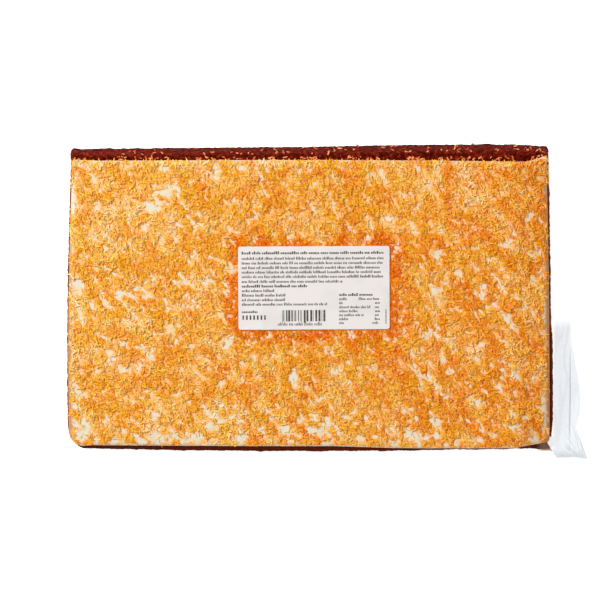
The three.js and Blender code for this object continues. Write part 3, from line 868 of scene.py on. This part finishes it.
FALLEN_ON_WALL = 68
FALLEN_ON_LEDGE = 84
FALLEN = FALLEN_ON_WALL + FALLEN_ON_LEDGE
FALLEN_LENGTH = (1.4, 3.4)
FALLEN_WIDTH = (0.9, 1.4)
FALLEN_THICKNESS = (0.8, 1.2)
FALLEN_TILT = 0.6
FALLEN_SWING = 0.8
CLUMP = 4
CLUMP_SPREAD = 0.03
CLUMPS_CROWD = 0.72  # under 1, the clumps lie closer together towards the right
BACK_REACH = 0.97  # of the half length
WALL_HIGHEST = 0.97  # of the sponge's height there
WALL_SPAN = 0.6
WALL_CROWD = 1.6  # above 1, more of them stick near the top
SEEN_FROM = 120  # the distance behind the middle from which the wall is felt for
WALL_PROUD = 0.45
LEDGE_SPAN = (0.01, 0.95)  # from the cream to the brim
LEDGE_CROWD = 0.6  # under 1, more of them lie near the brim
LEDGE_PROUD = 0.4
STRAY = (-155.3, -102.1, 0.6)  # this one lies flat on the table at the front left corner
DAMP_PALE = srgb(246, 152, 96)
DAMP_DEEP = srgb(190, 70, 34)


def damp_coconut(start):
    # Here too the underside of each shred is painted deeper as shade.
    depth = written(start, "dye_and_shade") + speckle(start, 900.0, 2.0) * 0.4 - 0.2
    return {"Base Color": depth.mix(DAMP_PALE, DAMP_DEEP), "Roughness": 0.5, "Specular IOR Level": 0.2}


def spread_along(count):
    """Distances along the back, in loose clumps."""
    clumps = count // CLUMP
    middles = 2 * ((np.arange(clumps) + random.random(clumps)) / clumps) ** CLUMPS_CROWD - 1
    shares = np.repeat(middles, CLUMP) + random.normal(0, CLUMP_SPREAD, count)
    return np.clip(shares, -BACK_REACH, BACK_REACH) * HALF_LENGTH


fallen_x = spread_along(FALLEN_ON_WALL)
fallen_z = WALL_HIGHEST - WALL_SPAN * random.random(FALLEN_ON_WALL) ** WALL_CROWD
fallen_z = fallen_z * seat_height(fallen_x, HALF_WIDTH)
fallen_middles = []
for along, height in zip(fallen_x, fallen_z):
    seen_from = Vector((along * MM, SEEN_FROM * MM, height * MM))
    hit = sponge_ground.ray_cast(seen_from, Vector((0, -1, 0)))[0]
    fallen_middles.append(np.array(hit) / MM + (0, WALL_PROUD, 0))
fallen_x = spread_along(FALLEN_ON_LEDGE)
back_lines = (line[line[:, 1] > LONG_SIDE][::-1, :2].T for line in (brim, edge))
brim_y, cream_y = (np.interp(fallen_x, *line) for line in back_lines)
fallen_y = cream_y + (brim_y - cream_y) * random.uniform(*LEDGE_SPAN, FALLEN_ON_LEDGE) ** LEDGE_CROWD
for along, across in zip(fallen_x, fallen_y):
    fallen_middles.append(np.array((along, across, ground_height(along, across) + LEDGE_PROUD)))
fallen_middles[-1] = np.array(STRAY)
fallen_sizes = np.column_stack([random.uniform(low, high, FALLEN)
                                for low, high in (FALLEN_LENGTH, FALLEN_WIDTH, FALLEN_THICKNESS)])
fallen_pitch = random.normal(0, FALLEN_TILT, FALLEN)
fallen_pitch[-1] = 0
fallen_roll = random.uniform(0, 6, FALLEN)
fallen_yaw = random.normal(0, FALLEN_SWING, FALLEN)
fallen = coconut("coconut_fallen", np.array(fallen_middles), fallen_sizes, fallen_roll, fallen_pitch,
                 fallen_yaw, random.random(FALLEN), random.random(FALLEN))
finish(fallen, "damp_coconut", damp_coconut)
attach(fallen, "root")

# ---- The label ----
# A printed paper label with rounded corners, laid on the coconut after the cake was finished. The paper has
# drawn a little moisture and cockled.

LABEL_TURN = math.radians(0.3)
LABEL_CORNER = 1.6
LABEL_GRID = (100, 56)
PAPER_ABOVE = 0.2  # the upper face above LABEL_UNDERSIDE
PAPER_THICKNESS = 0.14
COCKLE = 0.09
PAPER_WHITE = srgb(231, 225, 222)
PAPER_SHADE = srgb(219, 215, 213)


def paper_height(along, across):
    """Height of the paper's upper face at a place on the label."""
    waves = np.sin(along / 9 + across / 17) + np.sin(across / 6 - along / 23)
    return LABEL_UNDERSIDE + PAPER_ABOVE + COCKLE * waves / 2


def on_label(along, across, height):
    """Places on the label, given from its middle along its own sides, as places on the cake."""
    cos, sin = math.cos(LABEL_TURN), math.sin(LABEL_TURN)
    return np.column_stack([LABEL_MIDDLE[0] + along * cos - across * sin,
                            LABEL_MIDDLE[1] + along * sin + across * cos, height])


bpy.ops.object.select_all(action="DESELECT")
bpy.ops.mesh.primitive_grid_add(x_subdivisions=LABEL_GRID[0], y_subdivisions=LABEL_GRID[1], size=1)
paper = bpy.context.object
paper.name = "label_paper"
bpy.ops.object.mode_set(mode="EDIT")
bpy.ops.transform.resize(value=(LABEL_LENGTH * MM, LABEL_WIDTH * MM, 1), center_override=(0, 0, 0))
bpy.ops.object.mode_set(mode="OBJECT")
corners = points_of(paper)
past = abs(corners[:, :2]) - (LABEL_LENGTH / 2 - LABEL_CORNER, LABEL_WIDTH / 2 - LABEL_CORNER)
past = np.maximum(past, 0)
rounding = np.max(past, 1) / np.maximum(np.hypot(*past.T), 1e-9)
rounding = np.where(np.min(past, 1) > 0, rounding, 1)
corners[:, :2] -= np.sign(corners[:, :2]) * past * (1 - rounding)[:, None]
corners = on_label(corners[:, 0], corners[:, 1], paper_height(corners[:, 0], corners[:, 1]))
move_points(paper, corners)
apply_modifier(paper, "SOLIDIFY", {"thickness": PAPER_THICKNESS * MM, "offset": -1})


def label_paper(start):
    fibres = speckle(start, 900.0, 3.0)
    damp = speckle(start, 70.0, 1.0).between(0.45, 0.75)
    return {
        "Base Color": (damp * 0.7 + fibres * 0.15).mix(PAPER_WHITE, PAPER_SHADE),
        "Roughness": 0.6,
        "Specular IOR Level": 0.4,
        "Normal": bump(start, 0.15, 0.0001, fibres),
    }


finish(paper, "label_paper", label_paper)
bpy.ops.object.shade_smooth_by_angle(angle=math.radians(40))
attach(paper, "root")
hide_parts("label")

# ---- The print on the label ----
# Dark grey ink in rows and a block of bars, printed on the paper before it was laid. It is left as plain
# bars that spell nothing.

# Rows of print: distance from the label's middle to the back, start and end along it, height of the row, and
# how heavy its bars are.
TEXT_ROWS = (
    (23.5, -47.6, 46.0, 1.9, 0.72),
    (19.8, -47.6, 46.4, 1.9, 0.46),
    (16.7, -47.6, 46.2, 1.9, 0.46),
    (13.6, -47.6, 46.0, 1.9, 0.46),
    (10.6, -47.6, 46.3, 1.9, 0.46),
    (7.55, -47.6, 46.0, 1.9, 0.46),
    (4.3, -47.6, 19.5, 1.9, 0.46),
    (1.25, -47.6, -3.6, 1.9, 0.72),
    (-1.85, -47.6, -25.5, 1.9, 0.46),
    (-4.9, -47.6, -18.0, 1.9, 0.46),
    (-8.0, -47.6, -19.1, 1.9, 0.46),
    (-11.0, -47.6, 9.4, 1.9, 0.46),
    (-16.0, -47.6, -35.1, 1.7, 0.72),
    (-24.4, -23.9, 6.6, 2.2, 0.34),
    (-4.75, 16.7, 38.8, 1.9, 0.72),
)
TABLE_ROWS = (-7.6, -10.3, -13.1, -15.8, -18.4, -21.1, -23.7)
TABLE_ALONG = (16.7, 43.6)
TABLE_PRINT = (1.8, 0.42)  # height and heaviness
# How long each row's entry is on the left and on the right.
TABLE_LENGTHS = ((5.2, 14), (3.6, 3.2), (20.5, 3.4), (12.6, 3.2), (16.6, 3.2), (6.4, 3.4), (3.6, 5))
# Words are runs of bars. The sizes are shares of the row's height.
WORD_LETTERS = (3, 11)
LETTER_WIDTHS = (0.3, 0.5)
LETTER_HEIGHTS = (0.66, 0.66, 0.66, 1)
LETTER_GAP = 0.17
WORD_GAP = 0.36
USUAL_HEAVINESS = 0.58
BARCODE_ALONG = (-21.1, 6.7)
BARCODE_ACROSS = (-14.9, -22.5)
BARCODE_BARS = (0.35, 0.6, 0.9, 1.3)
BARCODE_GAPS = (0.5, 0.8, 1.2)
GUARD_BARS = (0, 9, 10, 19)
GUARD_LENGTH = 1.1
LARGE_BARS = (-47.6, -30.9, 2.4)  # from, to, apart
LARGE_BAR = (0.8, -19.8, 1.1, 3)  # a mark, as below
SMALL_BARS = (-24, -14.5, 0.9)  # a row of the smallest print runs up the right-hand side
SMALL_BAR = (47.6, 0, 0.9, 0.5)
PRINT_THICKNESS = 0.03
PRINT_PROUD = 0.015
BAR_BEVEL = 0.12
PRINT_GREY = srgb(62, 56, 56)

marks = []  # middle along, middle across, length, width


def row_of_print(across, start, end, tall, heavy):
    """A row of words that spell nothing: each a run of small bars of uneven height."""
    along = start
    while along < end:
        for _ in range(random.integers(*WORD_LETTERS)):
            width = tall * random.uniform(*LETTER_WIDTHS) * heavy / USUAL_HEAVINESS
            height = tall * random.choice(LETTER_HEIGHTS)
            if along + width > end:
                break
            marks.append((along + width / 2, across + (height - tall * 0.8) / 2, width, height))
            along += width + tall * LETTER_GAP
        along += tall * WORD_GAP
        if along > end - tall:
            break


for row in TEXT_ROWS:
    row_of_print(*row)
for across in np.arange(*SMALL_BARS):
    marks.append(np.add(SMALL_BAR, (0, across, 0, 0)))
for across, (left_length, right_length) in zip(TABLE_ROWS, TABLE_LENGTHS):
    row_of_print(across, TABLE_ALONG[0], TABLE_ALONG[0] + left_length, *TABLE_PRINT)
    row_of_print(across, TABLE_ALONG[1] - right_length, TABLE_ALONG[1], *TABLE_PRINT)
along = BARCODE_ALONG[0]
bar_number = 0
while along < BARCODE_ALONG[1]:
    width = random.choice(BARCODE_BARS)
    guard = GUARD_LENGTH if bar_number in GUARD_BARS else 0
    low, high = BARCODE_ACROSS[1] - guard, BARCODE_ACROSS[0]
    marks.append((along + width / 2, (low + high) / 2, width, high - low))
    along += width + random.choice(BARCODE_GAPS)
    bar_number += 1
for along in np.arange(*LARGE_BARS):
    marks.append(np.add(LARGE_BAR, (along, 0, 0, 0)))

bpy.ops.object.select_all(action="DESELECT")
bpy.ops.mesh.primitive_cube_add(size=1)
mark = bpy.context.object
bpy.ops.object.mode_set(mode="EDIT")
bpy.ops.mesh.select_all(action="DESELECT")
shape = bmesh.from_edit_mesh(mark.data)
for side in shape.edges:
    side.select_set(abs(side.verts[0].co.z - side.verts[1].co.z) > 0.5)
bmesh.update_edit_mesh(mark.data)
bpy.ops.mesh.bevel(offset=BAR_BEVEL, segments=1)
mark_corners, mark_faces = as_pattern(mark)

marks = np.array(marks)
sizes = np.column_stack([marks[:, 2:], np.full(len(marks), PRINT_THICKNESS)])
middles = np.column_stack([marks[:, :2], np.zeros(len(marks))])
laid = (mark_corners[None] * sizes[:, None] + middles[:, None]).reshape(-1, 3)
laid = on_label(laid[:, 0], laid[:, 1], laid[:, 2] + PRINT_PROUD + paper_height(laid[:, 0], laid[:, 1]))
each = np.arange(len(marks))[:, None, None] * len(mark_corners)
label_print = joined_piece("label_print", laid, (mark_faces[None] + each).reshape(-1, 3))


def print_ink(start):
    worn = speckle(start, 1200.0, 2.0).between(0.55, 0.8)
    return {"Base Color": (worn * 0.5).mix(PRINT_GREY, PAPER_SHADE), "Roughness": 0.5}


finish(label_print, "print_ink", print_ink)
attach(label_print, "root")

# ---- The film's folded end ----
# Clear cling film, in which the cake was wrapped. Its end is folded down against the right-hand end of the
# cake and crumpled out over the table.

FILM_BACK = -17.5
FILM_FRONT = -107.4
FILM_TAIL = 3.6
FILM_CORNER = 1.8
FILM_GAP = 0.4  # between the film and the furthest point of the sponge's end
FILM_WALL = HALF_LENGTH + END_TAPER + 1.25 + FILM_GAP
# How far out, how high, and how much of the way from there to the outer edge.
FILM_PROFILE = np.array([
    (0, 33, 0), (0, 24, 0), (0, 14, 0), (1, 7.5, 0), (3.8, 5, 0), (7.4, 4.4, 0), (10.4, 5.2, 0),
    (11.2, 4.4, 0), (11.2, 2.6, 0.25), (11.2, 1.5, 0.6), (11.2, 0.9, 1),
])
FILM_NARROWEST = 0.6
FILM_BELLY = 6.3
BELLY_SWELLS = (0.08, 0.58)  # shares of the way from the film's back to its front
BELLY_SHRINKS = (0.62, 0.82)
BELLY_SHRINKAGE = 0.4
FILM_FLARE = 8.2
FLARE_BEGINS = 0.79
FLARE_LENGTH = 0.21
FILM_TOP_DIP = 0.12
FILM_RIPPLE = 0.35
FILM_THICKNESS = 0.06
FILM_CRUMPLE = 0.7
FILM_LOWEST = 0.12
FILM_GRID = (90, 150)


def film_places(forward, outward):
    """Places on the film: forward from its back to its front, outward from the cake to the outer edge."""
    step = outward * (len(FILM_PROFILE) - 1)
    out, height, beyond = (np.interp(step, np.arange(len(FILM_PROFILE)), part) for part in FILM_PROFILE.T)
    belly = FILM_BELLY * smoothstep(forward, *BELLY_SWELLS)
    belly = belly * (1 - BELLY_SHRINKAGE * smoothstep(forward, *BELLY_SHRINKS))
    flare = FILM_FLARE * np.maximum((forward - FLARE_BEGINS) / FLARE_LENGTH, 0)
    reach = out + beyond * (FILM_NARROWEST + belly + flare)
    front = FILM_FRONT - FILM_TAIL * smoothstep(reach, 0, 3) - FILM_CORNER * smoothstep(reach, 12, 24)
    ripple = FILM_RIPPLE * np.sin(forward * 17 + reach / 2.3) * smoothstep(reach, 3, 8)
    top = np.where(reach < 0.01, 1 - FILM_TOP_DIP * smoothstep(forward, 0.9, 1), 1)
    y = FILM_BACK + (front - FILM_BACK) * forward
    return np.column_stack([FILM_WALL + reach, y, height * top + ripple])


def film_sheet(name, columns, rows):
    """A flat sheet of film, and for each of its corners the shares of the way across and along it."""
    bpy.ops.object.select_all(action="DESELECT")
    bpy.ops.mesh.primitive_grid_add(x_subdivisions=columns, y_subdivisions=rows, size=1)
    sheet = bpy.context.object
    sheet.name = name
    return sheet, points_of(sheet)[:, :2] * MM + 0.5


def film_finished(sheet):
    """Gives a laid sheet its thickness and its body."""
    apply_modifier(sheet, "SOLIDIFY", {"thickness": FILM_THICKNESS * MM})
    bpy.ops.object.shade_smooth_by_angle(angle=math.radians(35))
    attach(sheet, "root")


FILM_TINT = srgb(180, 203, 220)
# Where the film is creased it is more opaque, as doubled film is, and painted a darker grey there as shade.
FILM_CREASE_SHADE = srgb(146, 159, 168)


def cling_film(start):
    place = start.node("TexCoord", out="Object")
    lengthwise = start.node("Mapping", {}, {0: place, 3: (1.0, 0.12, 1.0)})
    wrinkles = start.node("TexNoise", {}, {"Vector": lengthwise, "Scale": 120.0, "Detail": 1.0})
    folds = 1 - start.math("ABSOLUTE", wrinkles - 0.5, 0.0) * 9
    folded = start.math("MAXIMUM", folds.between(0.2, 1) * 0.1, written(start, "crease"))
    return {
        "Base Color": folded.mix(FILM_TINT, FILM_CREASE_SHADE),
        "Alpha": written(start, "veil") + folded * 0.45,
        "Roughness": 0.2,
        "IOR": 1.5,
    }


film, shares = film_sheet("film_folded", *FILM_GRID)
outward, forward = shares.T
laid = film_places(forward, outward)
crumple = noise_at(laid[:, 0] / 3.1, laid[:, 1] / 4.6, 7.5)
crumple += 0.5 * noise_at(laid[:, 0] / 1.3, laid[:, 1] / 1.7, 9.5)
loose = smoothstep(outward, 0.3, 0.5) * (0.5 + 1.2 * smoothstep(forward, 0.88, 1))
laid[:, 2] = np.maximum(laid[:, 2] + FILM_CRUMPLE * crumple * loose, FILM_LOWEST)
move_points(film, laid)

# Where the film is creased, from 0 to 1, which makes it more opaque and paints it darker as shade: a fold
# along it, its outer rim, its front hem, and rays that fan out from its outer front corner.
FOLD_CREASE = 0.7
FOLD_AT = 0.69
FOLD_WIDTH = 0.05
FOLD_FADES = 0.7
RIM_CREASE = 0.12
RIM_CREASE_IN_FRONT = 0.22
HEM_CREASE = 0.32
RAY_CREASE = 0.4
RAYS_FROM = (182, -112)
RAY_ANGLE = 7
RAY_LENGTHS = (12, 32)
on_fold = FOLD_CREASE * np.exp(-(((outward - FOLD_AT) / FOLD_WIDTH) ** 2)) * smoothstep(forward, 0.1, 0.35)
on_fold *= 1 - FOLD_FADES * smoothstep(forward, 0.76, 0.9)
on_rim = RIM_CREASE + RIM_CREASE_IN_FRONT * smoothstep(forward, 0.78, 0.9)
on_rim *= smoothstep(outward, 0.95, 0.99)
on_hem = HEM_CREASE * smoothstep(forward, 0.93, 0.99)
ray_x, ray_y = laid[:, 0] - RAYS_FROM[0], laid[:, 1] - RAYS_FROM[1]
fan = np.degrees(np.arctan2(ray_x, -ray_y)) / RAY_ANGLE
rays = 1 - smoothstep(abs(noise_at(fan, np.full(len(fan), 0.5), 3.5)), 0, 0.12)
rays *= 1 - smoothstep(np.hypot(ray_x, ray_y), *RAY_LENGTHS)
rays *= RAY_CREASE * smoothstep(outward, 0.5, 0.6)
write_attribute(film, "crease", np.max([on_fold, on_rim, on_hem, rays], axis=0))
# How milky it is everywhere else: least at its back edge and against the cake.
veil = 0.02 + 0.1 * smoothstep(forward, 0, 0.06) * (0.4 + 0.6 * smoothstep(outward, 0.2, 0.4))
write_attribute(film, "veil", veil)
finish(film, "cling_film", cling_film)
film_finished(film)
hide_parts("film_end")

# ---- The sliver of film ----
# A strip of the same film that clings round the front left corner of the cake, halfway up it and down to the
# table.

SLIVER_WIDTH = 1.3
SLIVER_GAP = 0.2
SLIVER_FROM = math.radians(190)
SLIVER_TURN = math.radians(55)
SLIVER_TOP = 20
SLIVER_FALL = 18
# The whole sliver is a little creased: more opaque, and painted darker as shade.
SLIVER_CREASE = 0.22
SLIVER_VEIL = 0.08

sliver, shares = film_sheet("film_sliver", 6, 24)
outward, round_corner = shares.T
turn = SLIVER_FROM + SLIVER_TURN * round_corner
reach = CORNER_RADII[2] + SLIVER_GAP + SLIVER_WIDTH * outward * np.sin(math.pi * round_corner)
sliver_plan = out_of_square(np.column_stack([CORNER_RADII[2] - HALF_LENGTH + reach * np.cos(turn),
                                             CORNER_RADII[2] - HALF_WIDTH + reach * np.sin(turn)]))
move_points(sliver, with_height(sliver_plan, SLIVER_TOP - SLIVER_FALL * outward))
write_attribute(sliver, "crease", np.full(len(shares), SLIVER_CREASE))
write_attribute(sliver, "veil", np.full(len(shares), SLIVER_VEIL))
finish(sliver, "sliver_film", cling_film)
film_finished(sliver)

# ---- The corner of the film ----
# The same film again, drawn tight over the sunken front right corner of the sponge. A milky folded edge runs
# across it, with a painted highlight along the fold. Left of that it is clear but for a pale brownish veil,
# partly a smear of cream and partly painted sheen over the shaded sponge corner. The milky film is painted
# lighter and made to glow at the back, in the cake's shade, and painted darker at the front, in the light.

CAMERA_TILT = math.radians(11)  # how far from upright the cake is looked at
FLAP_BACK = -92
FLAP_FRONT = -108.6
FLAP_LEFT = 150
FLAP_RIGHT = FILM_WALL - 0.2
FLAP_HEM = -102.6  # its front edge at the left
FLAP_HEM_DROPS = 6
FLAP_HEM_AT = (158.2, 162)
OVER_LEDGE = (101.6, 104.6)  # distances in front of the middle over which it comes down from the ledge
ABOVE_LEDGE = 1.3
ABOVE_TABLE = 2.6
FLAP_HOLLOWS = 0.25
FOLD_START = (157.4, -98.85)
FOLD_SLANT = 0.615
FOLD_EDGE = 0.7
FOLD_HIGHLIGHT_MIDDLE = 0.9
FOLD_HIGHLIGHT_HALF_WIDTH = 0.6

flap, shares = film_sheet("film_corner", 48, 60)
across, along = shares.T
flap_y = FLAP_BACK + (FLAP_FRONT - FLAP_BACK) * along
past_ledge = smoothstep(-flap_y, *OVER_LEDGE)
flap_x = FLAP_LEFT + (FLAP_RIGHT - FLAP_LEFT) * across
flap_y = np.maximum(flap_y, FLAP_HEM - FLAP_HEM_DROPS * smoothstep(flap_x, *FLAP_HEM_AT))
hollow = FLAP_HOLLOWS * noise_at(flap_x / 2.4, flap_y / 5, 17.5)
flap_z = (seat_height(flap_x, flap_y) + ABOVE_LEDGE + hollow) * (1 - past_ledge)
flap_z = flap_z + (ABOVE_TABLE + hollow) * past_ledge
move_points(flap, np.column_stack([flap_x, flap_y, flap_z]))
# Looked at from the tilt, the fold runs straight from the cream's corner down to the table.
seen_y = flap_y * math.cos(CAMERA_TILT) - flap_z * math.sin(CAMERA_TILT)
from_fold = flap_x - (FOLD_START[0] + (FOLD_START[1] - seen_y) * FOLD_SLANT)
write_attribute(flap, "milky", smoothstep(from_fold, 0, FOLD_EDGE))
# A pale brownish veil left of the fold: partly a smear of cream, partly painted sheen that lightens the
# shaded sponge corner under the film.
smear_and_sheen_mask = smoothstep(flap_x, 150, 156) * (1 - smoothstep(-flap_y, 101, 102)) * (from_fold < 0)
write_attribute(flap, "smear_and_sheen", smear_and_sheen_mask)
# Painted light and shade: the back of the flap lies in the cake's shade and is painted lighter and made to
# glow; the lit front is painted darker.
write_attribute(flap, "shaded", 1 - smoothstep(-flap_y, 97, 103))
# Painted highlight: a near-white band along the fold.
write_attribute(flap, "fold", np.exp(-(((from_fold - FOLD_HIGHLIGHT_MIDDLE) / FOLD_HIGHLIGHT_HALF_WIDTH) ** 2)))
FILM_SMEAR_AND_SHEEN = srgb(178, 140, 116)
FILM_MILKY = srgb(226, 231, 233)
FILM_LIT = srgb(196, 203, 207)
FILM_FOLD_HIGHLIGHT = srgb(252, 252, 250)
FILM_SHADED = srgb(40, 30, 26)


def creamy_film(start):
    milky, fold, smear_and_sheen, shaded = (written(start, name) for name in ("milky", "fold", "smear_and_sheen", "shaded"))
    return {
        "Base Color": fold.mix(milky.mix(FILM_SMEAR_AND_SHEEN, shaded.mix(FILM_LIT, FILM_MILKY)), FILM_FOLD_HIGHLIGHT),
        "Alpha": smear_and_sheen * 0.48 + milky * 0.88 + fold * 0.1,
        # a glow that paints light into the milky film where the cake shades it
        "Emission Color": (milky * shaded).mix(FILM_SHADED, FILM_MILKY),
        "Emission Strength": 0.56,
        "Roughness": 0.35,
        "Specular IOR Level": 0.2,
    }


finish(flap, "creamy_film", creamy_film)
film_finished(flap)

# ---- The table, the light and the camera ----
# A white table top under soft studio light, and a camera high above the cake with a long lens, tipped eleven
# degrees from upright so that the back of the cake shows.

TABLE_SIZE = 8  # metres
TABLE_WHITE = (0.93, 0.93, 0.93, 1)
TABLE_GLOW = 0.8  # the table is lit from below as well, so that shadows stay pale

bpy.ops.object.select_all(action="DESELECT")
bpy.ops.mesh.primitive_plane_add(size=TABLE_SIZE, location=(0, 0, 0))
table_top = bpy.context.object
table_top.name = "table_top"


def white_table(start):
    return {
        "Base Color": TABLE_WHITE,
        "Roughness": 0.8,
        "Specular IOR Level": 0.2,
        "Emission Color": TABLE_WHITE,
        "Emission Strength": TABLE_GLOW,
    }


finish(table_top, "white_table", white_table)


def soft_light(name, place, size, power):
    """A round lamp that points at the cake, with its place and size in metres."""
    lamp = bpy.data.lights.new(name, "AREA")
    lamp.shape = "DISK"
    lamp.size = size
    lamp.energy = power
    holder = bpy.data.objects.new(name, lamp)
    holder.location = place
    holder.rotation_euler = (-Vector(place)).to_track_quat("-Z", "Y").to_euler()
    bpy.context.scene.collection.objects.link(holder)


soft_light("key_light", (-1.35, 1.35, 1.8), 0.35, 68)
soft_light("fill_light", (1.4, -1.0, 2.4), 2.0, 10)

pale_room = bpy.data.worlds.new("pale_room")
pale_room.use_nodes = True
pale_room.node_tree.nodes["Background"].inputs["Color"].default_value = (1, 0.99, 0.97, 1)
pale_room.node_tree.nodes["Background"].inputs["Strength"].default_value = 0.32
bpy.context.scene.world = pale_room
bpy.context.scene.view_settings.view_transform = "Standard"

CAMERA_DISTANCE = 4030
CAMERA_ASIDE = (-6.76, -4.32)  # along X, and along the picture's height
PICTURE_WIDTH = 397.5
PICTURE_DISTANCE = 4000  # from the camera to where the picture is as wide as that
SENSOR_WIDTH = 36

camera_data = bpy.data.cameras.new("camera")
camera_data.sensor_width = SENSOR_WIDTH
camera_data.lens = SENSOR_WIDTH * PICTURE_DISTANCE / PICTURE_WIDTH
camera_data.clip_end = 20
camera = bpy.data.objects.new("camera", camera_data)
towards_camera = Vector((0, math.sin(CAMERA_TILT), math.cos(CAMERA_TILT)))
up_picture = Vector((0, math.cos(CAMERA_TILT), -math.sin(CAMERA_TILT)))
aside = Vector((CAMERA_ASIDE[0], 0, 0)) + CAMERA_ASIDE[1] * up_picture
camera.location = (aside + CAMERA_DISTANCE * towards_camera) * MM
camera.rotation_euler = (-CAMERA_TILT, 0, 0)
bpy.context.scene.collection.objects.link(camera)
bpy.context.scene.camera = camera
